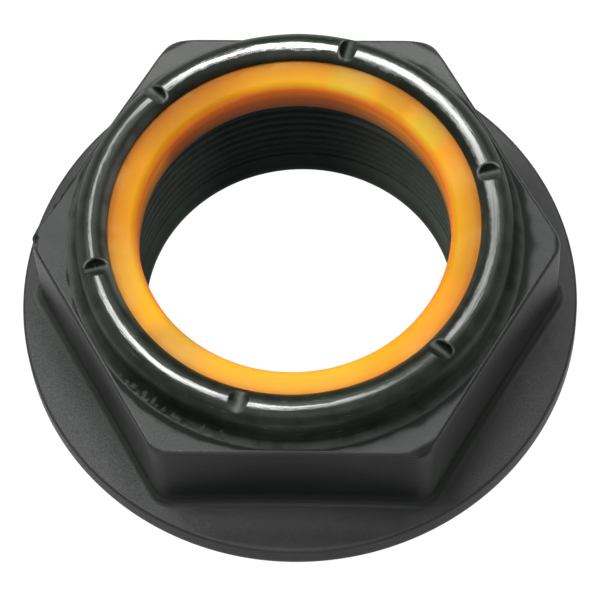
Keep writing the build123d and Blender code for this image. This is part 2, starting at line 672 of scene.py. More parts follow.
    def cone_rows(self, count: int = 12) -> list[SectionRow]:
        """The flange's conical top, from the rim in to the root fillet.

        Args:
            count: how many steps it has.

        Returns:
            The rows, in order.
        """
        slope = math.radians(self.flange_slope)
        start = self.sizes.flange_radius - self.rim_round * (1.0 - math.sin(slope))
        foot = self.wall_radius + self.root_offsets(2)[0][0] / self.wall_cosine
        rows = []
        for step in range(1, count):
            radius = start + (foot - start) * step / count
            rows.append(self.row(radius, self.cone_height(radius), Zone.CONE))
        return rows

    def root_rows(self, count: int = 7) -> list[SectionRow]:
        """The root fillet's rows, stretched where the side runs aslant to the radius.

        Args:
            count: how many steps it has.

        Returns:
            The rows, in order.
        """
        rows = []
        for out, above in self.root_offsets(count):
            radius = self.wall_radius + out / self.wall_cosine
            rows.append(self.row(radius, self.cone_height(radius) + above, Zone.ROOT))
        return rows

    def wall_rows(self, count: int = 9) -> list[SectionRow]:
        """The hexagon's sides up to the chamfer.

        Args:
            count: how many steps it has.

        Returns:
            The rows, in order.
        """
        _, above = self.root_offsets(2)[-1]
        foot = self.cone_height(self.wall_radius) + above
        top = self.edge_height(np.zeros(self.columns))
        rows = []
        for share in np.linspace(0.0, 1.0, count + 1)[1:-1]:
            rows.append(self.row(self.wall_radius, foot + (top - foot) * share, Zone.WALL))
        rows.append(self.row(self.wall_radius, top - 0.1, Zone.WALL))
        return rows

    def edge_height(self, inward: np.ndarray) -> np.ndarray:
        """The height of the hexagon's top over a distance in from its side.

        Args:
            inward: distances in from the side, one for each column.

        Returns:
            Heights, over the rounded edge, the chamfer at the corners and the shelf.
        """
        trimmed = self.wall_radius - self.chamfer_radius
        fall = math.tan(math.radians(self.chamfer_slope))
        chamfer = -soft_least(-(trimmed - inward) * fall, np.zeros_like(inward), self.chamfer_soften)
        short = np.clip(self.edge_round - inward, 0.0, self.edge_round)
        rounded = self.edge_round - np.sqrt(self.edge_round**2 - short**2)
        return self.hexagon_top - np.maximum(chamfer, 0.0) - rounded

    def shelf_start(self) -> np.ndarray:
        """How far in from the side the flat shelf starts.

        Returns:
            The distance at every column.
        """
        trimmed = np.maximum(self.wall_radius - self.chamfer_radius, 0.0)
        past_chamfer = trimmed + 0.3 * smooth_step(trimmed, 0.0, 0.4)
        return np.maximum(past_chamfer, self.edge_round) + self.row_gap

    def chamfer_rows(self) -> list[SectionRow]:
        """The rounded edge, and the chamfer across the corners.

        Returns:
            The rows, in order.
        """
        rows = []
        for step in np.linspace(0.0, 75.0, 6):
            inward = self.edge_round * (1.0 - math.cos(math.radians(step)))
            height = self.edge_height(inward)
            rows.append(self.row(self.wall_radius - inward, height, Zone.CHAMFER))
        start = self.shelf_start()
        for share in np.linspace(0.0, 1.0, 7)[1:]:
            inward = self.edge_round + (start - self.edge_round) * share
            height = self.edge_height(inward)
            rows.append(self.row(self.wall_radius - inward, height, Zone.CHAMFER))
        return rows

    def shelf_rows(self) -> list[SectionRow]:
        """The flat shelf on top of the hexagon, closer together near the collar's root.

        Returns:
            The rows, in order.
        """
        edge = self.wall_radius - self.shelf_start() - 0.75 * self.row_gap
        foot = np.minimum(self.shelf_foot, edge - 0.75 * self.row_gap)
        near = np.minimum(foot + self.burr_rows, edge - 0.25 * self.row_gap)
        rows = []
        radii = [edge + (near - edge) * share for share in (0.0, 0.15, 0.3, 0.5, 0.75)]
        radii += [near + (foot - near) * share for share in np.linspace(0.0, 1.0, 8)]
        for radius in radii:
            height = self.edge_height(self.wall_radius - radius)
            rows.append(self.row(radius, height, Zone.SHELF))
        return rows

    def collar_rows(self) -> list[SectionRow]:
        """The collar's root fillet and its wall.

        Returns:
            The rows, in order.
        """
        bend = self.collar_root_fillet
        limit = self.wall_radius - self.shelf_start() - 1.75 * self.row_gap
        rows = []
        for turn in np.linspace(1.5 * math.pi, math.pi, 8)[1:]:
            radius = self.collar_radius + bend + bend * math.cos(turn)
            height = self.hexagon_top + bend + bend * math.sin(turn)
            rows.append(self.row(np.minimum(radius, limit), height, Zone.COLLAR))
        low = self.hexagon_top + bend
        high = self.sizes.overall_height - self.crown_round
        for share in (0.25, 0.5, 0.75):
            rows.append(self.row(self.collar_radius, low + (high - low) * share, Zone.COLLAR))
        return rows

    def crown_rows(self, outer: int = 15, inner: int = 13) -> list[SectionRow]:
        """The rolled crown: a round outside and a flatter fall to the lip.

        Args:
            outer: how many steps the outside has.
            inner: how many steps the fall has.

        Returns:
            The rows, in order.
        """
        top = self.sizes.overall_height
        middle = self.collar_radius - self.crown_round
        rows = []
        for step in np.linspace(0.0, 90.0, outer):
            turn = math.radians(step)
            radius = middle + self.crown_round * math.cos(turn)
            height = top - self.crown_round + self.crown_round * math.sin(turn)
            rows.append(self.row(radius, height, Zone.CROWN, 90.0 - step))
        width = middle - self.lip_radius
        bend = (width**2 + self.lip_drop**2) / (2.0 * self.lip_drop)
        last = math.degrees(math.asin(width / bend))
        for step in np.linspace(0.0, last, inner)[1:]:
            turn = math.radians(step)
            radius = middle - bend * math.sin(turn)
            height = top - bend + bend * math.cos(turn)
            rows.append(self.row(radius, height, Zone.CROWN, -step))
        return rows

    def lip_rows(self) -> list[SectionRow]:
        """The lip's edge and its underside, rounded into the pocket's wall.

        Returns:
            The rows, in order.
        """
        edge = self.sizes.overall_height - self.lip_drop
        under = edge - self.lip_edge
        bend = self.lip_inside_fillet
        rows = [
            self.row(self.lip_radius - 0.02, edge - 0.1, Zone.LIP),
            self.row(self.lip_radius, under + 0.04, Zone.LIP),
            self.row(self.lip_radius + 0.04, under, Zone.LIP),
        ]
        for turn in np.linspace(math.pi / 2.0, 0.0, 4):
            radius = self.pocket_radius - bend + bend * math.cos(turn)
            height = under - bend + bend * math.sin(turn)
            rows.append(self.row(radius, height, Zone.POCKET))
        return rows

    def pocket_rows(self) -> list[SectionRow]:
        """The pocket's wall and floor under the ring.

        Returns:
            The rows, in order.
        """
        floor = self.sizes.ring_floor
        return [
            self.row(self.pocket_radius, floor, Zone.POCKET),
            self.row(self.entry_radius, floor, Zone.POCKET),
            self.row(self.bore_radius, floor - self.entry_fall, Zone.BORE),
        ]

    def bore_rows(self, count: int = 6) -> list[SectionRow]:
        """The bore at the thread's major diameter, with a plain land at the bearing face.

        Args:
            count: how many steps it has.

        Returns:
            The rows, in order.
        """
        high = self.sizes.ring_floor - self.entry_fall
        land = self.sizes.minor_radius
        low = self.plain_land + (self.bore_radius - land) * math.tan(math.radians(self.entry_angle))
        rows = []
        for share in np.linspace(0.0, 1.0, count)[1:]:
            rows.append(self.row(self.bore_radius, high + (low - high) * share, Zone.BORE))
        rows.append(self.row(land, self.plain_land, Zone.BORE))
        rows.append(self.row(land, self.plain_land / 2.0, Zone.BORE))
        rows.append(self.row(land, self.hole_break, Zone.BORE))
        return rows

    def section(self) -> list[SectionRow]:
        """All rows, once round the closed section.

        Returns:
            The rows, in order.
        """
        return [
            *self.bearing_rows(),
            *self.rim_rows(),
            *self.cone_rows(),
            *self.root_rows(),
            *self.wall_rows(),
            *self.chamfer_rows(),
            *self.shelf_rows(),
            *self.collar_rows(),
            *self.crown_rows(),
            *self.lip_rows(),
            *self.pocket_rows(),
            *self.bore_rows(),
        ]

    def press_crimps(self, radius: np.ndarray, height: np.ndarray) -> np.ndarray:
        """Presses the crimps into the crown.

        Args:
            radius: the crown rows' radii, one row of the grid each.
            height: their heights.

        Returns:
            How far each point goes down.
        """
        top = self.sizes.overall_height
        down = np.zeros_like(height)
        for crimp in self.crimps:
            off = angle_between(self.theta, math.radians(crimp.angle))[None, :]
            near = np.abs(off) < math.radians(self.crimp_span)
            aside = radius * np.sin(off)
            along = radius * np.cos(off) - (self.collar_radius - self.crown_round)
            pressed = top - crimp.depth + crimp.floor(aside, along)
            deeper = height - soft_least(height, pressed, self.crimp_soften)
            down = np.maximum(down, np.where(near, deeper, 0.0))
        return down

    def stations(self, table: Stations) -> tuple[np.ndarray, np.ndarray]:
        """Two values given at some angles, carried round to every column.

        Args:
            table: rows of angle, first value and second value.

        Returns:
            The first and the second value at every column.
        """
        angles, first, second = zip(*table)
        return carried_round(self.theta, angles, first), carried_round(self.theta, angles, second)

    def around(self, values: Sequence[float]) -> np.ndarray:
        """One value of each rub station, carried smoothly round the crown to every column."""
        return carried_round(self.theta, [rub.angle for rub in self.rub_highlights], values)

    def rubbed_highlight_band(self, tilt: np.ndarray, pressed: np.ndarray) -> np.ndarray:
        """How far inside the crown's rub band, bare metal carrying a painted highlight, each point
        lies.

        Args:
            tilt: the crown rows' tilt, outward positive.
            pressed: how deep the crimps go at each point.

        Returns:
            2 on the band's middle line, 1 at its edges and 0 far away and in the crimps.
        """
        middle = self.around([rub.middle for rub in self.rub_highlights])[None, :]
        reach = self.around([rub.reach for rub in self.rub_highlights])[None, :]
        inside = np.clip(2.0 - np.abs(tilt - middle) / reach, 0.0, 2.0)
        return inside * (1.0 - band_step(pressed, self.unrubbed_depths))

    def crimp_marks(self, radius: np.ndarray, pressed: np.ndarray) -> tuple[np.ndarray, np.ndarray]:
        """The painted shadow under one edge of each crimp, and the painted highlight along that edge.

        Args:
            radius: the crown rows' radii.
            pressed: how deep the crimps go at each point.

        Returns:
            The painted shadow and the painted highlight, from 0 to 1 each.
        """
        side = np.zeros_like(pressed)
        for crimp in self.crimps:
            off = angle_between(self.theta, math.radians(crimp.angle))[None, :]
            lean = math.cos(math.radians(crimp.angle - crimp.turn)) / crimp.width
            near = np.abs(off) < math.radians(self.mark_span)
            side = np.where(near, radius * np.sin(off) * lean, side)
        pit = band_step(pressed, self.crimp_shadow_depths) * band_step(side, self.crimp_shadow_sides)
        line = band_step(pressed, self.line_start) * (1.0 - band_step(pressed, self.line_end))
        return pit, line * band_step(side, self.line_sides)

    def crimp_shine(self) -> np.ndarray:
        """How bare the crimps' floors are, carried from crimp to crimp round the crown."""
        angles, shine = zip(*((mark.angle, mark.shine) for mark in self.crimps))
        return carried_round(self.theta, angles, shine)

    def burr(self, radius: np.ndarray) -> np.ndarray:
        """Scaly burr along the collar's foot.

        Args:
            radius: radii of the shelf's and the collar root's rows.

        Returns:
            How high the flakes stand at each point.
        """
        run = np.maximum.reduce([self.along(stretch) for stretch in self.burr_runs])
        x, y = radius * np.cos(self.theta), radius * np.sin(self.theta)
        ragged = self.burr_edge.at(x, y, np.zeros_like(x)) * self.raggedness
        line = self.collar_radius + self.burr_line * self.collar_root_fillet + ragged
        across = np.clip(1.0 - np.abs(radius - line) / self.burr_width, 0.0, 1.0)
        scales = band_step(self.burr_scales.at(x, y, np.zeros_like(x)), self.scale_band)
        return self.burr_height * run[None, :] * across * scales

    def dent(self, radius: np.ndarray, height: np.ndarray) -> np.ndarray:
        """Knocks in the hexagon's edge near one corner.

        Args:
            radius: the grid's radii.
            height: its heights.

        Returns:
            How far each point is pushed in towards the axis.
        """
        x, y = radius * np.cos(self.theta), radius * np.sin(self.theta)
        near_top = band_step(height, self.knock_heights) * band_step(radius, self.knock_radii)
        run = np.maximum(self.along(self.knocked_corner), self.along(self.knocked_side))
        knocks = band_step(self.knock_ripple.at(x, y, height), self.knock_raggedness)
        return self.dent_depth * near_top * run[None, :] * knocks

    def shade(self, zones: np.ndarray, radius: np.ndarray, height: np.ndarray) -> np.ndarray:
        """How much painted shade each point carries, from 0 to 1.

        Args:
            zones: the rows' zones.
            radius: the grid's radii.
            height: its heights.

        Returns:
            The painted shade: on the hexagon's sides, round their root, on the shelf round the collar's
                foot, outside the corners' crescents, and on the rim, darkest along its foot.
        """
        zone = zones[:, None] * np.ones_like(radius, dtype=int)
        upper, lower = self.stations(self.side_shade)
        apart, reach = self.stations(self.foot_shade)
        _, near_root = self.stations(self.root_light_and_shade)
        out, up = self.beyond_root(radius), self.up_side(height)
        on_cone = self.along(self.shaded_front) * band_step(out, self.shaded_front_band)
        on_cone = on_cone + near_root[None, :] * (1.0 - band_step(out, self.shaded_cone_band))
        on_wall = upper[None, :] + lower[None, :] * (1.0 - band_step(up, self.shaded_foot_band))
        upper_rim = 0.85 - 0.6 * band_step(height, self.shaded_rim_band)
        on_rim = np.where(height < self.rim_foot, 1.0, upper_rim)
        painted_shade = np.where(zone == Zone.CONE.value, on_cone, 0.0)
        painted_shade = np.where(zone == Zone.ROOT.value, 0.2 + near_root[None, :], painted_shade)
        x, y = radius * np.cos(self.theta), radius * np.sin(self.theta)
        ragged = self.raggedness * self.shelf_ripple.at(x, y, np.zeros_like(x))
        from_foot = radius - self.shelf_foot + ragged * np.minimum(reach, 1.0)[None, :]
        on_shelf = 0.95 * (1.0 - smooth_step(from_foot - apart[None, :], 0.0, reach[None, :]))
        top = np.isin(zone, (Zone.SHELF.value, Zone.CHAMFER.value))
        painted_shade = np.where(zone == Zone.SHELF.value, on_shelf, painted_shade)
        turned = (self.wall_radius - radius) / self.edge_round
        on_edge = upper[None, :] * (1.0 - band_step(turned, self.shaded_edge_band))
        painted_shade = np.where(zone == Zone.CHAMFER.value, on_edge, painted_shade)
        painted_shade = np.where(top, np.maximum(painted_shade, self.chamfer_shade(radius)), painted_shade)
        painted_shade = np.where(zone == Zone.WALL.value, on_wall, painted_shade)
        return np.where(zone == Zone.RIM.value, on_rim, painted_shade)

    def chamfer_shade(self, radius: np.ndarray) -> np.ndarray:
        """Painted shade outside the crescents of the shelf that stay light at the hexagon's corners,
        and on the knocked edge near the left corner.

        Args:
            radius: the grid's radii.

        Returns:
            The painted shade, from 0 to 1.
        """
        side = self.wall_radius + self.crescent_reach
        edge = soft_least(side, self.chamfer_radius + self.crescent_trim, 1.0)
        corner = band_step(radius - edge[None, :], self.crescent_band)
        chip_shade = self.along(self.chip_shade)[None, :] * band_step(radius - self.wall_radius, self.chip_shade_band)
        return np.maximum(0.8 * corner, chip_shade)

    def root_light(self, zones: np.ndarray, radius: np.ndarray, height: np.ndarray) -> np.ndarray:
        """Painted light where the hexagon meets the flange.

        Args:
            zones: the rows' zones.
            radius: the grid's radii.
            height: its heights.

        Returns:
            The painted light, from 0 to 1: in the root, up the sides, and on the cone close to the root
                and in front.
        """
        zone = zones[:, None] * np.ones_like(radius, dtype=int)
        amount, reach = self.stations(self.side_light)
        rooted, _ = self.stations(self.root_light_and_shade)
        out, up = self.beyond_root(radius), self.up_side(height)
        dust = np.where(zone == Zone.ROOT.value, rooted[None, :], 0.0)
        on_wall = amount[None, :] * (1.0 - smooth_step(up, 0.0, reach[None, :]))
        dust = np.where(zone == Zone.WALL.value, on_wall, dust)
        near = rooted[None, :] * (1.0 - band_step(out, self.lit_root_band))
        ahead = self.along(self.lit_front) * (1.0 - band_step(out, self.lit_front_band))
        return np.where(zone == Zone.CONE.value, np.maximum(near, ahead), dust)

    def lit_collar_and_flakes(
        self, zones: np.ndarray, height: np.ndarray, tilt: np.ndarray, flakes: np.ndarray
    ) -> np.ndarray:
        """Painted light on the collar and its crown: on the collar's foot and the crown's outer and
        inner slopes, with paler burr flakes.

        Args:
            zones: the rows' zones.
            height: the grid's heights.
            tilt: the crown rows' tilt, outward positive.
            flakes: the burr's height at each point.

        Returns:
            The paleness, from 0 to 1.
        """
        right, left = self.along(self.collar_light_right), self.along(self.collar_light_left)
        low = 1.0 - band_step(height - self.hexagon_top, self.collar_light_foot_band)
        strongest = np.maximum(self.along(self.collar_light_front), 1.8 * np.maximum(right, left))
        foot = strongest[None, :] * low
        collar = (zones == Zone.COLLAR.value)[:, None]
        pale = collar * np.maximum(np.maximum(right, left)[None, :], foot)
        lip = np.maximum(1.1 * right, 2.7 * left)
        outer = band_step(tilt, self.collar_light_outer_tilt) * (0.14 + 0.22 * left)[None, :]
        inner = band_step(-tilt, self.collar_light_inner_tilt) * lip[None, :]
        pale[zones == Zone.CROWN.value] = outer + inner
        pale[zones == Zone.LIP.value] = lip
        return np.maximum(pale, 0.9 * collar * band_step(flakes, self.pale_collar_flakes))

    def edge_light_and_burr(
        self, zones: np.ndarray, radius: np.ndarray, height: np.ndarray, flakes: np.ndarray
    ) -> np.ndarray:
        """Painted light along the hexagon's rounded top edge, on the rim's top and on the cone in front
        near the root, and paler burr flakes.

        Args:
            zones: the rows' zones.
            radius: the grid's radii.
            height: its heights.
            flakes: the burr's height at each point.

        Returns:
            The paleness, from 0 to 1.
        """
        run = 0.45 + self.along(self.pale_corner)
        turned = (self.wall_radius - radius) / self.edge_round
        bent = band_step(turned, self.pale_edge_start) * (1.0 - band_step(turned, self.pale_edge_end))
        chamfer = (zones == Zone.CHAMFER.value)[:, None] * run[None, :] * bent
        rim = (zones == Zone.RIM.value)[:, None] * band_step(height, self.pale_rim_band)
        burr = 0.8 * band_step(flakes, self.pale_flakes)
        out = self.beyond_root(radius)
        cone = (zones == Zone.CONE.value)[:, None] * (1.0 - band_step(out, self.pale_front_band))
        drift = cone * self.along(self.pale_front)[None, :]
        return np.maximum.reduce([chamfer, 0.8 * rim, burr, drift])

    def wear(self, zones: np.ndarray, flakes: np.ndarray) -> np.ndarray:
        """How much bare metal shows, from 0 to 1.

        Args:
            zones: the rows' zones.
            flakes: the burr's height at each point.

        Returns:
            The wear: along the hexagon's upper edge, most near one corner, and on the burr.
        """
        run = 0.55 + self.along(self.worn_corner)
        worn = np.where((zones == Zone.CHAMFER.value)[:, None], run[None, :], 0.0)
        return np.maximum(worn, band_step(flakes, self.worn_flakes))

    def spread(self, rows: np.ndarray, values: np.ndarray) -> np.ndarray:
        """Values of some rows, with zeros in the others.

        Args:
            rows: which rows have values.
            values: their values.

        Returns:
            Values for the whole grid.
        """
        full = np.zeros((len(rows), self.columns))
        full[rows] = values
        return full

    def finish_slots(self, zones: np.ndarray, radius: np.ndarray) -> np.ndarray:
        """Which finish each face takes: 0 phosphate, 1 oiled collar, 2 bore.

        Args:
            zones: the rows' zones.
            radius: the grid's radii.

        Returns:
            One slot number for each face.
        """
        slots = np.zeros(radius.shape, dtype=np.int32)
        oiled = (Zone.COLLAR.value, Zone.CROWN.value, Zone.LIP.value)
        slots[np.isin(zones, oiled)] = 1
        slots[np.isin(zones, (Zone.BORE.value, Zone.POCKET.value))] = 2
        return slots.ravel()

    def build(
        self,
        material: bpy.types.Material,
        collar: bpy.types.Material,
        inside: bpy.types.Material,
    ) -> bpy.types.Object:
        """Makes the body's mesh.

        Args:
            material: the steel's material.
            collar: the material of the collar, its crown and its lip.
            inside: the material of the bore and the pocket.

        Returns:
            The object, which replaces the CAD node.
        """
        rows = self.section()
        zones = np.array([row.zone.value for row in rows])
        radius = np.array([row.radius for row in rows])
        height = np.array([row.height for row in rows])
        crown = zones == Zone.CROWN.value
        pressed = self.press_crimps(radius[crown], height[crown])
        height[crown] -= np.maximum(pressed, 0.0)
        tilt = np.array([row.tilt for row in rows])[crown][:, None]
        rubbed = np.zeros_like(height)
        rubbed[crown] = self.rubbed_highlight_band(tilt, pressed)
        # How strong the crest's painted highlight is at each column
        strength = np.zeros_like(height)
        strength[:] = self.around([rub.strength for rub in self.rub_highlights])[None, :]
        x, y = radius * np.cos(self.theta), radius * np.sin(self.theta)
        wave = self.crown_ripple.at(x, y, height) * self.crown_wave - self.crown_sink
        height[crown] += np.minimum(wave, 0.0)[crown]
        foot = (zones == Zone.SHELF.value) | (zones == Zone.COLLAR.value)
        flakes = np.zeros_like(height)
        flakes[foot] = self.burr(radius[foot])
        height += flakes
        radius -= self.dent(radius, height)
        duller = 1.0 - self.along(self.dull_crown)
        glossy = band_step(-np.abs(tilt - self.gloss_tilt), self.gloss_band) * duller[None, :]
        mesh = grid_mesh(BODY_NODE + "_dressed", self.theta, radius, height)
        crimped = band_step(pressed, self.crimped_depths) * self.crimp_shine()[None, :]
        pit, line = self.crimp_marks(radius[crown], pressed)
        layers = {
            "rubbed": rubbed,
            "strength": strength,
            "worn": self.wear(zones, flakes),
            "shade": self.shade(zones, radius, height),
            "glossy": self.spread(crown, glossy),
            "rooted": self.root_light(zones, radius, height),
            "scuffed": self.lit_collar_and_flakes(zones, height, tilt, flakes),
            "edge": self.edge_light_and_burr(zones, radius, height, flakes),
            "crimped": self.spread(crown, crimped),
            "pit": self.spread(crown, pit),
            "pinched": self.spread(crown, line),
        }
        for name, values in layers.items():
            write_attribute(mesh, name, values)
        for finish in (material, collar, inside):
            mesh.materials.append(finish)
        mesh.polygons.foreach_set("material_index", self.finish_slots(zones, radius))
        return finished(mesh, material, BODY_NODE)


def grid_mesh(
    name: str, theta: np.ndarray, radius: np.ndarray, height: np.ndarray
) -> bpy.types.Mesh:
    """A closed mesh from rows and columns, both of which close on themselves.

    Args:
        name: the mesh's name.
        theta: the columns' angles, in radians.
        radius: radii in millimetres, by row and column.
        height: heights in millimetres, by row and column.

    Returns:
        The mesh, smooth-shaded, in metres, with its faces pointing outwards.
    """
    rows, columns = radius.shape
    points = np.stack(
        [radius * np.cos(theta)[None, :], radius * np.sin(theta)[None, :], height], axis=-1
    )
    index = np.arange(rows * columns).reshape(rows, columns)
    right = np.roll(index, -1, axis=1)
    above = np.roll(index, -1, axis=0)
    corner = np.roll(right, -1, axis=0)
    quads = np.stack([index, right, corner, above], axis=-1).reshape(-1, 4)
    mesh = bpy.data.meshes.new(name)
    mesh.from_pydata((points.reshape(-1, 3) * MM).tolist(), [], quads.tolist())
    mesh.update()
    mesh.shade_smooth()
    return mesh


def write_attribute(mesh: bpy.types.Mesh, name: str, values: np.ndarray) -> None:
    """Stores one number at each of a mesh's points."""
    layer = mesh.attributes.new(name, "FLOAT", "POINT")
    layer.data.foreach_set("value", values.astype(np.float32).ravel())


def finished(
    mesh: bpy.types.Mesh, material: bpy.types.Material, node: str
) -> bpy.types.Object:
    """Links a finished mesh as a piece that rides on the body and stands for a CAD node.

    Args:
        mesh: the finished mesh.
        material: its material.
        node: the CAD node it stands for.

    Returns:
        The piece.
    """
    if not mesh.materials:
        mesh.materials.append(material)
    piece = bpy.data.objects.new(mesh.name, mesh)
    bpy.context.scene.collection.objects.link(piece)
    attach(piece, ROOT_BODY)
    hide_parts(node)
    LOG.info("%s: %d faces", piece.name, len(mesh.polygons))
    return piece


class NodeKit:
    """Short ways to add and link nodes in one tree."""

    def __init__(self, tree: bpy.types.NodeTree) -> None:
        """Takes the tree that the nodes go into."""
        self.tree = tree

    def node(self, kind: str, links: dict | None = None, **options: object) -> bpy.types.Node:
        """A node with its options set and its inputs linked or filled.

        Args:
            kind: the node's type.
            links: socket names or indices, each with a socket to link or a plain value.
            options: the node's own properties.

        Returns:
            The node.
        """
        made = self.tree.nodes.new(kind)
        for option, value in options.items():
            setattr(made, option, value)
        for socket, value in (links or {}).items():
            self.feed(made.inputs[socket], value)
        return made

    def feed(self, target: Socket, value: object) -> None:
        """Links a socket to an input, or fills the input with a plain value.

        Args:
            target: the input.
            value: a socket or a plain value.
        """
        if isinstance(value, Socket):
            self.tree.links.new(value, target)
        else:
            target.default_value = value

    def math(self, operation: str, *values: object) -> Socket:
        """The result of a Math node on sockets or numbers."""
        made = self.node("ShaderNodeMath", dict(enumerate(values)), operation=operation)
        return made.outputs[0]

    def product(self, first: object, *others: object) -> Socket:
        """Two or more numbers multiplied.

        Args:
            first: one number or socket.
            others: the rest.

        Returns:
            The product.
        """
        for value in others:
            first = self.math("MULTIPLY", first, value)
        return first

    def flat(self, parts: Sequence[Socket]) -> Socket:
        """The level part of a place, from its separate X, Y and Z."""
        return self.node("ShaderNodeCombineXYZ", {0: parts[0], 1: parts[1]}).outputs[0]

    def length(self, vector: Socket) -> Socket:
        """A vector's length."""
        return self.node("ShaderNodeVectorMath", {0: vector}, operation="LENGTH").outputs["Value"]

    def unit(self, vector: Socket) -> Socket:
        """A vector's direction."""
        return self.node("ShaderNodeVectorMath", {0: vector}, operation="NORMALIZE").outputs[0]

    def scaled(self, vector: object, factor: object) -> Socket:
        """A vector or colour times a number."""
        made = self.node("ShaderNodeVectorMath", {0: vector, "Scale": factor}, operation="SCALE")
        return made.outputs[0]


class TreeBuilder(NodeKit):
    """Builds one Geometry Nodes tree with named inputs and bakes it to a plain mesh."""

    def __init__(self, name: str) -> None:
        """Makes an empty tree with a geometry input and output.

        Args:
            name: the tree's name.
        """
        super().__init__(bpy.data.node_groups.new(name, "GeometryNodeTree"))
        self.tree.interface.new_socket("Geometry", in_out="INPUT", socket_type="NodeSocketGeometry")
        self.tree.interface.new_socket("Geometry", in_out="OUTPUT", socket_type="NodeSocketGeometry")
        self.values: dict[str, object] = {}
        self.entry = self.tree.nodes.new("NodeGroupInput")
        self.exit = self.tree.nodes.new("NodeGroupOutput")

    def number(self, name: str, value: float) -> Socket:
        """A named number input and its socket inside the tree."""
        return self._input(name, "NodeSocketFloat", value)

    def whole(self, name: str, value: int) -> Socket:
        """A named whole-number input and its socket inside the tree."""
        return self._input(name, "NodeSocketInt", value)

    def _input(self, name: str, kind: str, value: object) -> Socket:
        """Adds an input, notes the value it will be given, and returns its inner socket.

        Args:
            name: the input's name.
            kind: its socket type.
            value: the value it will be given.

        Returns:
            The inner socket.
        """
        item = self.tree.interface.new_socket(name, in_out="INPUT", socket_type=kind)
        self.values[item.identifier] = value
        return self.entry.outputs[name]

    def finish(self, geometry: Socket, material: bpy.types.Material) -> None:
        """Ends the tree in Realize Instances and Set Material.

        Args:
            geometry: what the tree has made.
            material: its material.
        """
        real = self.node("GeometryNodeRealizeInstances", {"Geometry": geometry})
        dressed = self.node(
            "GeometryNodeSetMaterial", {"Geometry": real.outputs[0], "Material": material}
        )
        self.tree.links.new(dressed.outputs[0], self.exit.inputs[0])

    def bake(self, name: str, base: bpy.types.Mesh) -> bpy.types.Mesh:
        """Runs the tree on a base mesh.

        Args:
            name: the new mesh's name.
            base: the mesh that enters the tree.

        Returns:
            A plain mesh.
        """
        carrier = bpy.data.objects.new(name + "_carrier", base)
        bpy.context.scene.collection.objects.link(carrier)
        modifier = carrier.modifiers.new(name, "NODES")
        modifier.node_group = self.tree
        for identifier, value in self.values.items():
            modifier[identifier] = value
        bpy.context.view_layer.update()
        evaluated = carrier.evaluated_get(bpy.context.evaluated_depsgraph_get())
        mesh = bpy.data.meshes.new_from_object(evaluated)
        mesh.name = name
        carrier.modifiers.remove(modifier)
        bpy.data.objects.remove(carrier)
        mesh.shade_smooth()
        return mesh


def polygon_mesh(name: str, points: Sequence[tuple[float, float]]) -> bpy.types.Mesh:
    """A closed outline of edges in the XY plane, from points in millimetres.

    Args:
        name: the mesh's name.
        points: its corners, in order.

    Returns:
        The outline's mesh.
    """
    count = len(points)
    mesh = bpy.data.meshes.new(name)
    edges = [(index, (index + 1) % count) for index in range(count)]
    mesh.from_pydata([(x * MM, y * MM, 0.0) for x, y in points], edges, [])
    return mesh


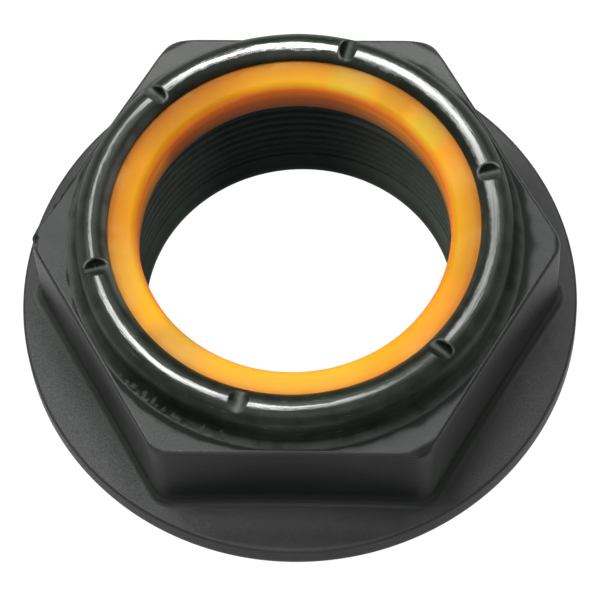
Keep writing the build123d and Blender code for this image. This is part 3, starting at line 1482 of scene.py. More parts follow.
@dataclass
class ThreadRidge:
    """The helical ridge of the internal thread, trimmed by the entry cones at both ends."""

    sizes: NutFrame
    pitch: float = 1.5
    major_radius: float = 18.0
    crest_share: float = 0.25
    root_share: float = 0.125
    crest_ease: float = 0.05
    steps_per_turn: int = 150
    sink: float = 0.02
    overrun: float = 1.095
    cone_radius: float = 18.27
    cone_fall: float = 1.733
    end_gap: float = 0.02
    low_end: float = 1.0
    hand: Hand = Hand.RIGHT

    def profile(self) -> list[tuple[float, float]]:
        """The ridge's section: distance out from the wall, and distance along the axis.

        Returns:
            Its corners, in millimetres.
        """
        depth = self.major_radius - self.sizes.minor_radius
        foot = self.pitch * (1.0 - self.root_share) / 2.0
        crest = self.pitch * self.crest_share / 2.0
        ease = self.crest_ease
        return [
            (self.sink, -foot),
            (ease - depth, -crest - ease),
            (-depth, -crest + ease),
            (-depth, crest - ease),
            (ease - depth, crest + ease),
            (self.sink, foot),
        ]

    def spiral(self, build: TreeBuilder) -> Socket:
        """The helix that the ridge follows, with its normals level.

        Args:
            build: the tree that is being built.

        Returns:
            The helix's curve.
        """
        low, high = -self.overrun, self.sizes.ring_floor + self.overrun
        rotations = build.number("Turns", (high - low) / self.pitch)
        radius = build.number("Wall radius", self.major_radius * MM)
        climb = build.number("Climb", (high - low) * MM)
        start = build.number("Start height", low * MM)
        per_turn = build.whole("Steps per turn", self.steps_per_turn)
        helix = build.node(
            "GeometryNodeCurveSpiral",
            {
                "Resolution": per_turn,
                "Rotations": rotations,
                "Start Radius": radius,
                "End Radius": radius,
                "Height": climb,
                "Reverse": self.hand is Hand.LEFT,
            },
        )
        lifted = build.node("ShaderNodeCombineXYZ", {"Z": start})
        placed = build.node(
            "GeometryNodeTransform",
            {"Geometry": helix.outputs[0], "Translation": lifted.outputs[0]},
        )
        level = build.node("GeometryNodeSetCurveNormal", {"Curve": placed.outputs[0]}, mode="Z_UP")
        return level.outputs[0]

    def trimmed(self, build: TreeBuilder, ridge: Socket) -> Socket:
        """The ridge kept between the end faces and out of the entry cones.

        Args:
            build: the tree that is being built.
            ridge: the swept ridge.

        Returns:
            The trimmed ridge.
        """
        cone = build.number("Cone radius", self.cone_radius * MM)
        fall = build.number("Cone fall", self.cone_fall)
        low = build.number("Lower end", self.low_end * MM)
        high = build.number("Upper end", (self.sizes.ring_floor - self.end_gap) * MM)
        place = build.node("GeometryNodeInputPosition").outputs[0]
        parts = build.node("ShaderNodeSeparateXYZ", {0: place}).outputs
        height = build.math("MINIMUM", build.math("MAXIMUM", parts[2], low), high)
        from_end = build.math(
            "MINIMUM", build.math("SUBTRACT", height, low), build.math("SUBTRACT", high, height)
        )
        limit = build.math("SUBTRACT", cone, build.math("MULTIPLY", from_end, fall))
        flat = build.flat(parts)
        kept = build.math("MAXIMUM", build.length(flat), limit)
        out = build.scaled(build.unit(flat), kept)
        lifted = build.node("ShaderNodeCombineXYZ", {2: height}).outputs[0]
        whole = build.node("ShaderNodeVectorMath", {0: out, 1: lifted}).outputs[0]
        moved = build.node("GeometryNodeSetPosition", {"Geometry": ridge, "Position": whole})
        return moved.outputs[0]

    def build(self, material: bpy.types.Material) -> bpy.types.Object:
        """Makes the ridge by sweeping its section along the helix.

        Args:
            material: the bore's material.

        Returns:
            The ridge's piece.
        """
        build = TreeBuilder("thread_ridge")
        helix = self.spiral(build)
        outline = build.node("GeometryNodeMeshToCurve", {"Mesh": build.entry.outputs["Geometry"]})
        swept = build.node(
            "GeometryNodeCurveToMesh",
            {"Curve": helix, "Profile Curve": outline.outputs[0], "Fill Caps": True},
        )
        build.finish(self.trimmed(build, swept.outputs[0]), material)
        mesh = build.bake("thread_ridge", polygon_mesh("thread_section", self.profile()))
        return finished(outward_facing(mesh), material, BODY_NODE)


def outward_facing(mesh: bpy.types.Mesh) -> bpy.types.Mesh:
    """Turns a closed mesh's faces over if they enclose a negative volume.

    Args:
        mesh: a closed mesh.

    Returns:
        The same mesh.
    """
    mesh.calc_loop_triangles()
    count = len(mesh.vertices)
    points = np.empty(count * 3)
    mesh.vertices.foreach_get("co", points)
    points = points.reshape(-1, 3)
    corners = np.empty(len(mesh.loop_triangles) * 3, dtype=np.int32)
    mesh.loop_triangles.foreach_get("vertices", corners)
    a, b, c = (points[corners.reshape(-1, 3)[:, side]] for side in range(3))
    if np.einsum("ij,ij->i", a, np.cross(b, c)).sum() < 0.0:
        mesh.flip_normals()
    return mesh


@dataclass
class SerrationTeeth:
    """The ratchet teeth of the bearing face, one block each, set round the recess."""

    inner_radius: float = 20.6
    outer_radius: float = 28.0
    depth: float = 0.5
    count: int = 60
    edge: float = 0.04
    overlap: float = 0.01
    bury: float = 0.02
    wall_lean: float = 0.001

    def tooth(self, material: bpy.types.Material) -> bpy.types.Mesh:
        """One tooth: a wedge with an upright wall, a ramp, and a land that widens outwards.

        Args:
            material: the steel's material.

        Returns:
            The tooth's mesh.
        """
        pitch = FULL_TURN * self.inner_radius / self.count
        spread = FULL_TURN * self.outer_radius / self.count - pitch
        top = self.depth + self.bury
        mesh = bpy.data.meshes.new("tooth")
        points: list[tuple[float, float, float]] = []
        inner, outer = self.inner_radius - self.overlap, self.outer_radius + self.overlap
        for radius, land in ((inner, 0.0), (outer, spread)):
            points += [
                (radius, -land, self.edge),
                (radius, -land + self.wall_lean, 0.0),
                (radius, 0.0, 0.0),
                (radius, pitch, self.depth),
                (radius, pitch, top),
                (radius, -land, top),
            ]
        size = len(points) // 2
        faces = [tuple(range(size))[::-1], tuple(range(size, 2 * size))]
        for side in range(size):
            after = (side + 1) % size
            faces.append((side, after, after + size, side + size))
        mesh.from_pydata([(x * MM, y * MM, z * MM) for x, y, z in points], [], faces)
        mesh.materials.append(material)
        return mesh

    def build(self, material: bpy.types.Material) -> bpy.types.Object:
        """Sets the teeth round the axis.

        Args:
            material: the steel's material.

        Returns:
            The teeth as one piece.
        """
        build = TreeBuilder("serration_ring")
        count = build.whole("Teeth", self.count)
        line = build.node("GeometryNodeMeshLine", {"Count": count, "Offset": (0.0, 0.0, 0.0)})
        index = build.node("GeometryNodeInputIndex")
        turn = build.math("DIVIDE", build.math("MULTIPLY", index.outputs[0], FULL_TURN), count)
        about = build.node("ShaderNodeCombineXYZ", {"Z": turn})
        set_round = build.node(
            "GeometryNodeInstanceOnPoints",
            {
                "Points": line.outputs[0],
                "Instance": build.entry.outputs["Geometry"],
                "Rotation": about.outputs[0],
            },
        )
        build.finish(set_round.outputs[0], material)
        mesh = build.bake("serrations", outward_facing(self.tooth(material)))
        mesh.shade_flat()
        return finished(mesh, material, BODY_NODE)


@dataclass
class LockingRing:
    """The nylon ring, swept from its section, with the slight waves of a moulded part."""

    sizes: NutFrame
    lip_radius: float = 20.0
    top_fall: float = 0.3
    shoulder_round: float = 1.1
    outer_round: float = 0.7
    foot_chamfer: float = 0.2
    segments: int = 480
    wave: float = 0.035
    wave_scale: float = 90.0
    seed: float = 3.7

    def profile(self) -> list[tuple[float, float]]:
        """The ring's section, from the foot of the bore out, up and back over the shoulder.

        Returns:
            Pairs of radius and height.
        """
        bore, outer = self.sizes.ring_bore_radius, self.sizes.ring_radius
        floor, top = self.sizes.ring_floor, self.sizes.ring_top
        points = [(bore + self.foot_chamfer, floor)]
        points += [(bore + (outer - bore) * share, floor) for share in (0.4, 0.7)]
        points += [(outer, floor), (outer, (floor + top) / 2.0)]
        bend = self.outer_round
        for turn in np.linspace(0.0, math.pi / 2.0, 5):
            points.append((outer - bend + bend * math.cos(turn), top - bend + bend * math.sin(turn)))
        points.append((self.lip_radius - 0.05, top))
        fall = math.atan(self.top_fall / (self.lip_radius - bore))
        bend = self.shoulder_round
        centre = (bore + bend, top - self.top_fall + bend * math.tan(fall) - bend / math.cos(fall))
        run = self.lip_radius - centre[0]
        for share in (0.25, 0.5, 0.75):
            radius = self.lip_radius - run * share
            points.append((radius, top - (self.lip_radius - radius) * math.tan(fall)))
        for turn in np.linspace(math.pi / 2.0 + fall, math.pi, 12):
            points.append((centre[0] + bend * math.cos(turn), centre[1] + bend * math.sin(turn)))
        foot = floor + self.foot_chamfer
        for share in (0.25, 0.5, 0.75, 1.0):
            points.append((bore, centre[1] + (foot - centre[1]) * share))
        return points

    def build(self, material: bpy.types.Material) -> bpy.types.Object:
        """Sweeps the section round the axis.

        Args:
            material: the nylon's material.

        Returns:
            The ring's piece.
        """
        build = TreeBuilder("ring_sweep")
        segments = build.whole("Segments", self.segments)
        radius = build.number("Bore radius", self.sizes.ring_bore_radius * MM)
        wave = build.number("Wave", self.wave * MM)
        scale = build.number("Wave scale", self.wave_scale)
        seed = build.number("Seed", self.seed)
        circle = build.node(
            "GeometryNodeCurvePrimitiveCircle", {"Resolution": segments, "Radius": radius}
        )
        outline = build.node("GeometryNodeMeshToCurve", {"Mesh": build.entry.outputs["Geometry"]})
        swept = build.node(
            "GeometryNodeCurveToMesh",
            {"Curve": circle.outputs[0], "Profile Curve": outline.outputs[0]},
        )
        noise = build.node(
            "ShaderNodeTexNoise", {"W": seed, "Scale": scale, "Detail": 2.0}, noise_dimensions="4D"
        )
        uneven = build.math("SUBTRACT", noise.outputs[0], 0.5)
        shift = build.math("MULTIPLY", uneven, wave)
        normal = build.node("GeometryNodeInputNormal")
        offset = build.scaled(normal.outputs[0], shift)
        uneven_ring = build.node(
            "GeometryNodeSetPosition", {"Geometry": swept.outputs[0], "Offset": offset}
        )
        build.finish(uneven_ring.outputs[0], material)
        bore = self.sizes.ring_bore_radius
        section = [(x - bore, -z) for x, z in self.profile()]
        mesh = build.bake("ring_dressed", polygon_mesh("ring_section", section))
        return finished(outward_facing(mesh), material, RING_NODE)


class ShaderKit(NodeKit):
    """One material, with short ways to read places and mix colours."""

    def __init__(self, name: str) -> None:
        """Makes a material with a Principled shader and Object coordinates.

        Args:
            name: the material's name.
        """
        self.material = bpy.data.materials.new(name)
        self.material.use_nodes = True
        super().__init__(self.material.node_tree)
        self.tree.nodes.clear()
        output = self.tree.nodes.new("ShaderNodeOutputMaterial")
        self.shader = self.tree.nodes.new("ShaderNodeBsdfPrincipled")
        self.tree.links.new(self.shader.outputs[0], output.inputs["Surface"])
        self.place = self.tree.nodes.new("ShaderNodeTexCoord").outputs["Object"]
        self.parts = self.node("ShaderNodeSeparateXYZ", {0: self.place}).outputs

    def set(self, socket: str, value: object) -> None:
        """Links or fills one of the shader's inputs."""
        self.feed(self.shader.inputs[socket], value)

    def noise(self, scale: float, detail: float, where: Socket | None = None,
              rough: float = 0.5) -> Socket:
        """Noise on the piece's own coordinates, or on where if it is given.

        Args:
            scale: the noise's scale, per metre.
            detail: how many finer layers it has.
            where: the coordinates to read.
            rough: the strength of the finer layers.

        Returns:
            The noise's value, near 0.5 on average.
        """
        made = self.node(
            "ShaderNodeTexNoise",
            {
                "Vector": where or self.place,
                "Scale": scale,
                "Detail": detail,
                "Roughness": rough,
            },
        )
        return made.outputs[0]

    def ramp(self, value: Socket, low: float, high: float,
             start: object = 0.0, end: object = 1.0) -> Socket:
        """A soft step of value between low and high, scaled to run from start to end.

        Args:
            value: what is read.
            low: where the step starts.
            high: where it ends.
            start: the result up to low.
            end: the result past high.

        Returns:
            The scaled step.
        """
        made = self.node(
            "ShaderNodeMapRange",
            {"Value": value, "From Min": low, "From Max": high, "To Min": start, "To Max": end},
            interpolation_type="SMOOTHSTEP",
        )
        return made.outputs[0]

    def fade(self, place: Socket, band: Band,
             start: object = 0.0, end: object = 1.0) -> Socket:
        """A soft step across a band of places that is given in millimetres."""
        return self.ramp(place, band[0] * MM, band[1] * MM, start, end)

    def mix_colour(self, share: object, first: object, second: object) -> Socket:
        """Two colours mixed by share.

        Args:
            share: 0 for the first, 1 for the second.
            first: one colour.
            second: the other.

        Returns:
            The mixed colour.
        """
        made = self.node("ShaderNodeMix", {"Factor": share}, data_type="RGBA")
        for socket, value in (("A", first), ("B", second)):
            self.feed(next(s for s in made.inputs if s.name == socket and s.type == "RGBA"), value)
        return next(s for s in made.outputs if s.type == "RGBA")

    def multiply(self, first: object, second: object) -> Socket:
        """Two colours multiplied."""
        made = self.node("ShaderNodeVectorMath", {0: first, 1: second}, operation="MULTIPLY")
        return made.outputs[0]

    def attribute(self, name: str) -> Socket:
        """A number stored on the mesh."""
        return self.node("ShaderNodeAttribute", attribute_name=name).outputs["Fac"]

    def bump(self, height: Socket, distance: float, strength: float,
             over: Socket | None = None) -> Socket:
        """A bump from a height field, laid over another normal if one is given.

        Args:
            height: the height field.
            distance: its depth, in metres.
            strength: how strong it is.
            over: the normal it is laid over.

        Returns:
            The bumped normal.
        """
        links: dict = {"Height": height, "Distance": distance, "Strength": strength}
        if over is not None:
            links["Normal"] = over
        return self.node("ShaderNodeBump", links).outputs[0]

    def turned_place(self, run: float, across: float) -> Socket:
        """Coordinates for marks that follow the turn: slow round the axis, quick across it.

        Args:
            run: how much the pattern changes over one radius of turn.
            across: how much it changes per metre of radius and height.

        Returns:
            The coordinates.
        """
        flat = self.flat(self.parts)
        round_axis = self.scaled(self.unit(flat), run)
        past = self.math("SUBTRACT", self.parts["Z"], self.length(flat))
        raised = self.node("ShaderNodeCombineXYZ", {2: self.product(past, across)}).outputs[0]
        return self.node("ShaderNodeVectorMath", {0: round_axis, 1: raised}).outputs[0]


@dataclass(frozen=True)
class PhosphatedSteel:
    """Dark grey phosphate on steel, with specks of bare metal on the worn edges; its colour also
    carries painted shade, and painted light in the root, along the edges and on the far side.
    """

    dark: Colour = (0.0070, 0.0082, 0.0076, 1.0)
    light: Colour = (0.0115, 0.0125, 0.0118, 1.0)
    far_side_light: Colour = (0.022, 0.023, 0.021, 1.0)
    painted_shade: Colour = (0.0095, 0.0112, 0.0096, 1.0)
    root_light: Colour = (0.060, 0.064, 0.059, 1.0)
    lit_edge_and_burr: Colour = (0.034, 0.035, 0.033, 1.0)
    tint: Colour = (0.975, 1.0, 0.975, 1.0)
    bare: Colour = (0.12, 0.12, 0.115, 1.0)
    far_side: Band = (12.0, 23.0)
    far_gloss: float = 1.7
    shaded_gloss: float = 0.16
    patch_scale: float = 300.0
    grain_scale: float = 4800.0
    speck_scale: float = 2300.0
    roughness: float = 0.42
    gloss: float = 0.31

    def make(self) -> bpy.types.Material:
        """Builds the material.

        Returns:
            The material.
        """
        kit = ShaderKit("phosphated_steel")
        patches = kit.noise(self.patch_scale, 4.0)
        grain = kit.noise(self.grain_scale, 3.0)
        specks = kit.noise(self.speck_scale, 2.0)
        coat = kit.mix_colour(kit.ramp(patches, 0.35, 0.65), self.dark, self.light)
        # Painted light: the far side of the nut is lighter and glossier
        far = kit.fade(kit.parts["Y"], self.far_side)
        # The shade attribute paints shade: the coat darkens towards the painted shade colour and loses
        # gloss
        shade = kit.attribute("shade")
        shaded = kit.mix_colour(shade, kit.mix_colour(far, coat, self.far_side_light), self.painted_shade)
        # Painted light in the hexagon's root, up its sides and on the cone near the root
        rooted = kit.mix_colour(kit.attribute("rooted"), shaded, self.root_light)
        # Painted light along edges, on the rim's top and on the cone in front, and paler burr flakes
        edged = kit.mix_colour(kit.attribute("edge"), rooted, self.lit_edge_and_burr)
        bare = kit.ramp(kit.product(specks, kit.attribute("worn")), 0.64, 0.72)
        kit.set("Base Color", kit.mix_colour(bare, edged, self.bare))
        kit.set("Metallic", kit.product(bare, 0.8))
        clean = kit.ramp(shade, 0.0, 1.0, self.gloss, self.gloss * self.shaded_gloss)
        farther = kit.ramp(far, 0.0, 1.0, 1.0, self.far_gloss)
        kit.set("Specular IOR Level", kit.product(clean, farther))
        kit.set("Specular Tint", self.tint)
        kit.set("Roughness", kit.ramp(grain, 0.3, 0.7, self.roughness - 0.04, self.roughness + 0.06))
        low = kit.bump(patches, 0.0002, 0.3)
        kit.set("Normal", kit.bump(grain, 0.00003, 0.4, low))
        return kit.material


@dataclass(frozen=True)
class OiledCollar:
    """Oily, greenish dark steel, worn bare by rubbing along the rolled crown in long streaks that also
    carry a painted highlight; the crimps carry painted shadows and highlights, the collar painted
    light.
    """

    dark: Colour = (0.0085, 0.0118, 0.0086, 1.0)
    light: Colour = (0.0150, 0.0190, 0.0146, 1.0)
    burnish_and_highlight: Colour = (0.50, 0.50, 0.49, 1.0)
    scuffed: Colour = (0.078, 0.084, 0.076, 1.0)
    pressed: Colour = (0.060, 0.064, 0.056, 1.0)
    pit: Colour = (0.0025, 0.0030, 0.0025, 1.0)
    tint: Colour = (0.92, 1.0, 0.90, 1.0)
    patch_scale: float = 420.0
    grain_scale: float = 5200.0
    roughness: float = 0.36
    gloss: float = 0.3
    dull_gloss: float = 0.2
    crimp_shadow_gloss: float = 0.1
    rubbed_roughness: float = 0.16

    def make(self) -> bpy.types.Material:
        """Builds the material.

        Returns:
            The material.
        """
        kit = ShaderKit("oiled_collar")
        lines = kit.noise(1.0, 3.0, kit.turned_place(3.5, 3600.0), 0.55)
        hairs = kit.noise(1.0, 3.0, kit.turned_place(22.0, 7000.0), 0.6)
        patches = kit.noise(self.patch_scale, 3.0)
        grain = kit.noise(self.grain_scale, 3.0)
        ragged = kit.math("ADD", lines, kit.product(hairs, 0.7))
        wander = kit.product(kit.math("SUBTRACT", ragged, 0.85), 2.6)
        depth = kit.math("ADD", kit.attribute("rubbed"), wander)
        strength = kit.attribute("strength")
        threads = kit.noise(1.0, 2.0, kit.turned_place(2.2, 4200.0), 0.5)
        broken = kit.product(strength, kit.ramp(threads, 0.36, 0.50, 0.65, 1.0))
        # The crest: bare metal that also carries the painted highlight
        crest = kit.product(kit.ramp(depth, 0.40, 1.45), broken)
        coat = kit.mix_colour(kit.ramp(patches, 0.35, 0.65), self.dark, self.light)
        crimped = kit.product(kit.attribute("crimped"), kit.ramp(patches, 0.4, 0.62))
        # Painted light on the collar's foot and the crown's slopes, and paler burr flakes
        scuffed = kit.product(kit.attribute("scuffed"), kit.ramp(patches, 0.3, 0.6, 0.5, 1.0))
        pale = kit.mix_colour(scuffed, coat, self.scuffed)
        marked = kit.mix_colour(crimped, pale, self.pressed)
        # Painted shadow under one edge of each crimp, with less gloss there
        pit = kit.attribute("pit")
        shadowed = kit.mix_colour(kit.product(pit, 0.85), marked, self.pit)
        # Painted highlight along that edge
        pinched = kit.product(kit.attribute("pinched"), kit.ramp(patches, 0.4, 0.6, 0.1, 0.5))
        crest = kit.math("MAXIMUM", crest, pinched)
        kit.set("Base Color", kit.mix_colour(crest, shadowed, self.burnish_and_highlight))
        kit.set("Specular Tint", self.tint)
        kit.set("Metallic", crest)
        glossy = kit.attribute("glossy")
        gloss = kit.ramp(glossy, 0.0, 1.0, self.gloss * self.dull_gloss, self.gloss)
        open_gloss = kit.ramp(pit, 0.0, 1.0, 1.0, self.crimp_shadow_gloss)
        kit.set("Specular IOR Level", kit.product(gloss, open_gloss))
        dull = kit.ramp(grain, 0.3, 0.7, self.roughness - 0.04, self.roughness + 0.08)
        shine = kit.ramp(hairs, 0.35, 0.65, self.rubbed_roughness, self.rubbed_roughness + 0.12)
        kit.set("Roughness", kit.node("ShaderNodeMix", {0: crest, 2: dull, 3: shine}).outputs[0])
        low = kit.bump(patches, 0.00012, 0.25)
        fine = kit.bump(grain, 0.00003, 0.3, low)
        kit.set("Normal", kit.bump(ragged, 0.00005, 0.5, fine))
        return kit.material


@dataclass(frozen=True)
class OiledBore:
    """Almost black, oil-soaked steel in the hole, with painted light on its sides, grooves and upper
    flanks and in an arc on the right, and a painted shadow under the ring.
    """

    # Painted light: the bore's sides are paler than its middle, most on the right
    left: Colour = (0.0260, 0.0320, 0.0280, 1.0)
    middle: Colour = (0.0050, 0.0070, 0.0068, 1.0)
    right: Colour = (0.0380, 0.0480, 0.0372, 1.0)
    left_fade: Band = (-16.5, -7.5)
    right_fade: Band = (2.5, 17.2)
    side_change: Band = (3.0, 13.0)
    groove_band: Band = (17.2, 18.0)
    foot_band: Band = (0.8, 4.0)
    shadow_band: Band = (12.9, 13.7)
    light_arc_start: Band = (11.2, 12.1)
    light_arc_end: Band = (13.0, 12.5)
    light_arc_side: Band = (2.0, 7.0)
    # Painted light: how pale the grooves and the upper flanks are, on the left and on the right
    groove: tuple[float, float] = (1.25, 1.65)
    flank: tuple[float, float] = (2.1, 1.3)
    under: float = 0.9
    light_arc: float = 1.8
    shadow: float = 0.55
    foot_level: float = 1.1
    patch_scale: float = 380.0
    grain_scale: float = 4200.0
    roughness: float = 0.5
    gloss: float = 0.012

    def make(self) -> bpy.types.Material:
        """Builds the material.

        Returns:
            The material.
        """
        kit = ShaderKit("oiled_bore")
        patches = kit.noise(self.patch_scale, 3.0)
        grain = kit.noise(self.grain_scale, 3.0)
        aside, height = kit.parts["X"], kit.parts["Z"]
        first = kit.mix_colour(kit.fade(aside, self.left_fade), self.left, self.middle)
        coat = kit.mix_colour(kit.fade(aside, self.right_fade), first, self.right)
        kit.set("Base Color", kit.scaled(coat, self.level(kit, patches, aside, height)))
        kit.set("Specular IOR Level", self.gloss)
        kit.set("Roughness", kit.ramp(grain, 0.3, 0.7, self.roughness - 0.05, self.roughness + 0.1))
        kit.set("Normal", kit.bump(grain, 0.00002, 0.3))
        return kit.material

    def level(
        self,
        kit: ShaderKit,
        patches: Socket,
        aside: Socket,
        height: Socket,
    ) -> Socket:
        """How much paler or darker than its coat each point of the bore is.

        Args:
            kit: the material's kit.
            patches: the coat's unevenness.
            aside: the place along X.
            height: the place along Z.

        Returns:
            A number to multiply the coat by: painted light in the thread's grooves, on its upper flanks
            and in an arc on the right below the ring, slight painted shade on the lower flanks, painted
            shadow just under the ring, and a little paler near the bearing face.
        """
        facing = kit.node("ShaderNodeTexCoord").outputs["Normal"]
        upward = kit.node("ShaderNodeSeparateXYZ", {0: facing}).outputs["Z"]
        groove = kit.fade(aside, self.side_change, *self.groove)
        flank = kit.fade(aside, self.side_change, *self.flank)
        # A painted light arc on the right, a little below the ring
        light_arc = kit.product(
            kit.fade(height, self.light_arc_start),
            kit.fade(height, self.light_arc_end),
            kit.fade(aside, self.light_arc_side),
        )
        return kit.product(
            kit.fade(kit.length(kit.flat(kit.parts)), self.groove_band, 1.0, groove),
            kit.ramp(patches, 0.3, 0.7, 0.9, 1.1),
            kit.ramp(upward, -0.8, 0.8, self.under, flank),
            kit.fade(height, self.foot_band, self.foot_level, 1.0),
            kit.fade(height, self.shadow_band, 1.0, self.shadow),
            kit.ramp(light_arc, 0.0, 1.0, 1.0, self.light_arc),
        )


@dataclass(frozen=True)
class RingTint:
    """A tint over one stretch of the ring, standing partly for stains and smears and partly for painted
    light and shade: its middle, its reach, and what it multiplies by.
    """

    angle: float
    reach: float
    colour: Colour

    def share(self, kit: ShaderKit, unit: Socket) -> Socket:
        """How strong the tint is in each direction from the axis.

        Args:
            kit: the material's kit.
            unit: the direction from the axis.

        Returns:
            1 at the tint's middle and 0 past its reach.
        """
        turn = math.radians(self.angle)
        aim = (math.cos(turn), math.sin(turn), 0.0)
        close = kit.node("ShaderNodeVectorMath", {0: unit, 1: aim}, operation="DOT_PRODUCT")
        return kit.ramp(close.outputs["Value"], math.cos(math.radians(self.reach)), 1.0)


@dataclass(frozen=True)
class AmberNylon:
    """Moulded amber nylon, slightly waxy and translucent, with painted light on its top, palest in
    front, and painted shade down its bore.
    """

    # Painted shade down the ring's bore, darkening it towards its foot
    foot: Colour = (0.186, 0.077, 0.050, 1.0)
    wall: Colour = (0.45, 0.126, 0.045, 1.0)
    shoulder: Colour = (0.88, 0.215, 0.033, 1.0)
    # Painted light on the bore's right and far left
    side_lift: Colour = (1.75, 2.2, 1.4, 1.0)
    # Painted light on the top: paler on the right than on the left, palest in front
    left: Colour = (0.52, 0.198, 0.006, 1.0)
    right: Colour = (0.61, 0.235, 0.008, 1.0)
    near: Colour = (0.82, 0.335, 0.022, 1.0)
    pale: Colour = (0.72, 0.40, 0.110, 1.0)
    inner_tint: Colour = (1.14, 1.26, 1.0, 1.0)
    outer_tint: Colour = (0.86, 0.78, 1.3, 1.0)
    plain: Colour = (1.0, 1.0, 1.0, 1.0)
    rim_shadow: Colour = (0.80, 0.76, 0.95, 1.0)
    # Tints round the ring, partly stains and smears, partly painted light and shade
    tints: tuple[RingTint, ...] = (
        RingTint(0.0, 28.0, (0.84, 0.94, 0.75, 1.0)),
        RingTint(40.0, 10.0, (0.84, 1.25, 2.2, 1.0)),
        RingTint(55.0, 8.0, (0.80, 0.90, 1.05, 1.0)),
        RingTint(71.0, 11.0, (0.86, 1.25, 2.3, 1.0)),
        RingTint(92.0, 20.0, (0.97, 1.10, 1.15, 1.0)),
        RingTint(131.0, 26.0, (0.80, 0.76, 0.88, 1.0)),
        RingTint(205.0, 20.0, (1.00, 1.18, 1.0, 1.0)),
        RingTint(230.0, 14.0, (0.70, 0.86, 1.65, 1.0)),
        RingTint(270.0, 36.0, (0.97, 1.03, 1.3, 1.0)),
        RingTint(306.0, 16.0, (1.00, 0.92, 0.6, 1.0)),
        RingTint(330.0, 24.0, (0.93, 0.90, 1.0, 1.0)),
    )
    cross_fade: Band = (-17.0, 17.0)
    front_fade: Band = (-2.0, -17.0)
    top_band: Band = (17.4, 20.0)
    rim_band: Band = (19.1, 19.8)
    wall_band: Band = (15.6, 17.4)
    bend_band: Band = (17.4, 18.8)
    shoulder_band: Band = (19.3, 19.75)
    gloss_band: Band = (18.8, 19.7)
    lift_right: Band = (3.0, 12.5)
    lift_left: Band = (-13.2, -15.0)
    lift_end: Band = (18.2, 19.2)
    cloud_scale: float = 110.0
    grain_scale: float = 2600.0
    clouded: float = 0.35
    glow_through: float = 0.35
    glow_radius: tuple[float, float, float] = (1.0, 0.5, 0.2)
    roughness: float = 0.42
    gloss: float = 0.07
    depth: float = 0.0009

    def make(self) -> bpy.types.Material:
        """Builds the material.

        Returns:
            The material.
        """
        kit = ShaderKit("amber_nylon")
        grain = kit.noise(self.grain_scale, 3.0)
        height = kit.parts["Z"]
        top = kit.fade(height, self.shoulder_band)
        kit.set("Base Color", kit.mix_colour(top, self.inside(kit), self.top(kit)))
        kit.set("Specular IOR Level", kit.fade(height, self.gloss_band, 0.0, self.gloss))
        kit.set("Subsurface Weight", self.glow_through)
        kit.set("Subsurface Radius", self.glow_radius)
        kit.set("Subsurface Scale", self.depth)
        kit.set("Roughness", kit.ramp(grain, 0.3, 0.7, self.roughness - 0.05, self.roughness + 0.08))
        kit.set("Normal", kit.bump(grain, 0.00003, 0.3))
        return kit.material

    def top(self, kit: ShaderKit) -> Socket:
        """The colour of the ring's top: painted light, palest in front, tints round the ring that are
        partly painted light and shade, the lip's painted shadow round its outer edge, and clouds.

        Args:
            kit: the material's kit.

        Returns:
            The colour.
        """
        across = kit.mix_colour(kit.fade(kit.parts["X"], self.cross_fade), self.left, self.right)
        front = kit.fade(kit.parts["Y"], self.front_fade)
        tone = kit.mix_colour(front, across, self.near)
        flat = kit.flat(kit.parts)
        radius, unit = kit.length(flat), kit.unit(flat)
        outward = kit.fade(radius, self.top_band)
        gradient = kit.mix_colour(outward, self.inner_tint, self.outer_tint)
        tone = kit.multiply(tone, kit.mix_colour(kit.product(front, 0.55), gradient, self.plain))
        for tint in self.tints:
            share = tint.share(kit, unit)
            tone = kit.multiply(tone, kit.mix_colour(share, self.plain, tint.colour))
        rim = kit.mix_colour(kit.fade(radius, self.rim_band), self.plain, self.rim_shadow)
        clouds = kit.ramp(kit.noise(self.cloud_scale, 3.0), 0.5, 0.72, 0.0, self.clouded)
        return kit.mix_colour(clouds, kit.multiply(tone, rim), self.pale)

    def inside(self, kit: ShaderKit) -> Socket:
        """The colour of the ring's bore: painted shade that darkens it towards its foot, and painted
        light on the right and far left.

        Args:
            kit: the material's kit.

        Returns:
            The colour.
        """
        aside, height = kit.parts["X"], kit.parts["Z"]
        low = kit.mix_colour(kit.fade(height, self.wall_band), self.foot, self.wall)
        bend = kit.mix_colour(kit.fade(height, self.bend_band), low, self.shoulder)
        sides = kit.math("MAXIMUM", kit.fade(aside, self.lift_right), kit.fade(aside, self.lift_left))
        lifted = kit.product(sides, kit.fade(height, self.lift_end, 1.0, 0.1))
        return kit.multiply(bend, kit.mix_colour(lifted, self.plain, self.side_lift))


@dataclass(frozen=True)
class StudioFloor:
    """A plain pale floor, bright enough to stay white round the part."""

    size: float = 4.0
    level: float = -0.00005
    colour: Colour = (0.10, 0.10, 0.10, 1.0)
    white: Colour = (1.0, 1.0, 1.0, 1.0)
    glow: float = 0.98
    roughness: float = 0.9

    def build(self) -> bpy.types.Object:
        """Makes the floor.

        Returns:
            The floor.
        """
        kit = ShaderKit("studio_floor")
        kit.set("Base Color", self.colour)
        kit.set("Roughness", self.roughness)
        kit.set("Specular IOR Level", 0.0)
        kit.set("Emission Color", self.white)
        kit.set("Emission Strength", self.glow)
        half = self.size / 2.0
        mesh = bpy.data.meshes.new("floor")
        corners = [(-half, -half), (half, -half), (half, half), (-half, half)]
        mesh.from_pydata([(x, y, self.level) for x, y in corners], [], [(0, 1, 2, 3)])
        mesh.materials.append(kit.material)
        floor = bpy.data.objects.new("floor", mesh)
        bpy.context.scene.collection.objects.link(floor)
        return floor


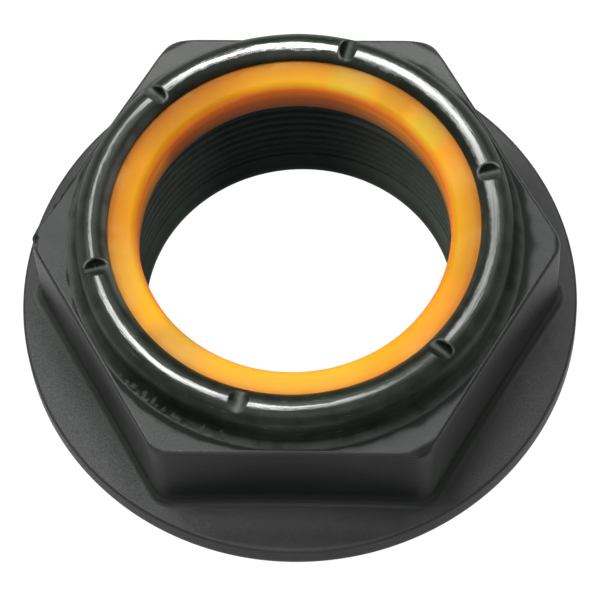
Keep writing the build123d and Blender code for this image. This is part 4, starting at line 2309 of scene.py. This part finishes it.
@dataclass(frozen=True)
class AreaLamp:
    """A soft lamp that points at the part."""

    name: str
    azimuth: float
    elevation: float
    distance: float
    size: float
    power: float
    colour: tuple[float, float, float] = (1.0, 1.0, 1.0)
    shape: Shape = Shape.DISK

    def build(self, target: Vector) -> bpy.types.Object:
        """Places the lamp.

        Args:
            target: the point it looks at, in metres.

        Returns:
            The lamp.
        """
        data = bpy.data.lights.new(self.name, "AREA")
        data.shape = self.shape.value
        data.size = self.size
        data.energy = self.power
        data.color = self.colour
        lamp = bpy.data.objects.new(self.name, data)
        bpy.context.scene.collection.objects.link(lamp)
        turn, rise = math.radians(self.azimuth), math.radians(self.elevation)
        away = Vector(
            (math.cos(turn) * math.cos(rise), math.sin(turn) * math.cos(rise), math.sin(rise))
        )
        lamp.location = target + away * self.distance
        lamp.rotation_mode = "QUATERNION"
        lamp.rotation_quaternion = (-away).to_track_quat("-Z", "Y")
        return lamp


@dataclass(frozen=True)
class StudioCamera:
    """The camera: it looks down at the part from the front, slightly rolled."""

    focal_pixels: float = 3696.9
    frame_pixels: float = 600.0
    sensor: float = 36.0
    distance: float = 413.0
    elevation: float = 64.197
    azimuth: float = 5.292
    roll: float = -4.345
    target: tuple[float, float, float] = (-0.040, 0.784, 0.0)
    clip: tuple[float, float] = (0.01, 20.0)

    def build(self) -> bpy.types.Object:
        """Makes the scene's camera.

        Returns:
            The camera.
        """
        turn, rise, lean = (math.radians(a) for a in (self.azimuth, self.elevation, self.roll))
        back = Vector(
            (math.sin(turn) * math.cos(rise), -math.cos(turn) * math.cos(rise), math.sin(rise))
        )
        right = Vector((math.cos(turn), math.sin(turn), 0.0))
        up = back.cross(right)
        across = right * math.cos(lean) + up * math.sin(lean)
        upward = up * math.cos(lean) - right * math.sin(lean)
        data = bpy.data.cameras.new("camera")
        data.sensor_width = self.sensor
        data.lens = self.focal_pixels * self.sensor / self.frame_pixels
        data.clip_start, data.clip_end = self.clip
        camera = bpy.data.objects.new("camera", data)
        bpy.context.scene.collection.objects.link(camera)
        turned = Matrix((across, upward, back)).transposed()
        camera.rotation_mode = "QUATERNION"
        camera.rotation_quaternion = turned.to_quaternion()
        camera.location = Vector(self.target) * MM + back * self.distance * MM
        bpy.context.scene.camera = camera
        return camera


@dataclass(frozen=True)
class SoftSurround:
    """Plain white surroundings that grow brighter towards one side of the ceiling."""

    azimuth: float = 138.0
    elevation: float = 68.0
    dim: float = 0.03
    bright: float = 0.06
    start: float = -0.1
    end: float = 0.95

    def build(self) -> bpy.types.World:
        """Makes the surroundings.

        Returns:
            The world.
        """
        world = bpy.data.worlds.new("surround")
        world.use_nodes = True
        tree = world.node_tree
        turn, rise = math.radians(self.azimuth), math.radians(self.elevation)
        bright_side = (
            math.cos(turn) * math.cos(rise), math.sin(turn) * math.cos(rise), math.sin(rise)
        )
        place = tree.nodes.new("ShaderNodeTexCoord")
        facing = tree.nodes.new("ShaderNodeVectorMath")
        facing.operation = "DOT_PRODUCT"
        facing.inputs[1].default_value = bright_side
        tree.links.new(place.outputs["Generated"], facing.inputs[0])
        level = tree.nodes.new("ShaderNodeMapRange")
        level.interpolation_type = "SMOOTHSTEP"
        level.inputs["From Min"].default_value = self.start
        level.inputs["From Max"].default_value = self.end
        level.inputs["To Min"].default_value = self.dim
        level.inputs["To Max"].default_value = self.bright
        tree.links.new(facing.outputs["Value"], level.inputs["Value"])
        tree.links.new(level.outputs[0], tree.nodes["Background"].inputs["Strength"])
        return world


@dataclass(frozen=True)
class Studio:
    """Floor, lamps, surroundings and camera."""

    surround: SoftSurround = SoftSurround()
    lamps: tuple[AreaLamp, ...] = (
        AreaLamp("overhead", 138.0, 68.0, 0.9, 0.73, 9.4),
        AreaLamp("back_right", 55.0, 60.0, 1.0, 0.7, 4.3),
        AreaLamp("front", -90.0, 50.0, 1.0, 0.8, 3.0),
    )
    target: tuple[float, float, float] = (0.0, 0.0, 10.0)

    def build(self) -> None:
        """Makes everything round the part and sets plain colour handling."""
        scene = bpy.context.scene
        scene.view_settings.view_transform = "Standard"
        scene.world = self.surround.build()
        StudioFloor().build()
        for lamp in self.lamps:
            lamp.build(Vector(self.target) * MM)
        StudioCamera().build()


def main() -> None:
    """Builds the nut, its finishes and the studio."""
    logging.basicConfig(level=logging.INFO, format="%(name)s: %(message)s")
    sizes = NutFrame.read(frame["record"])
    steel = PhosphatedSteel().make()
    collar = OiledCollar().make()
    bore = OiledBore().make()
    nylon = AmberNylon().make()
    ForgedBody(sizes).build(steel, collar, bore)
    ThreadRidge(sizes).build(bore)
    SerrationTeeth().build(steel)
    LockingRing(sizes).build(nylon)
    Studio().build()


if __name__ == "__main__":
    main()
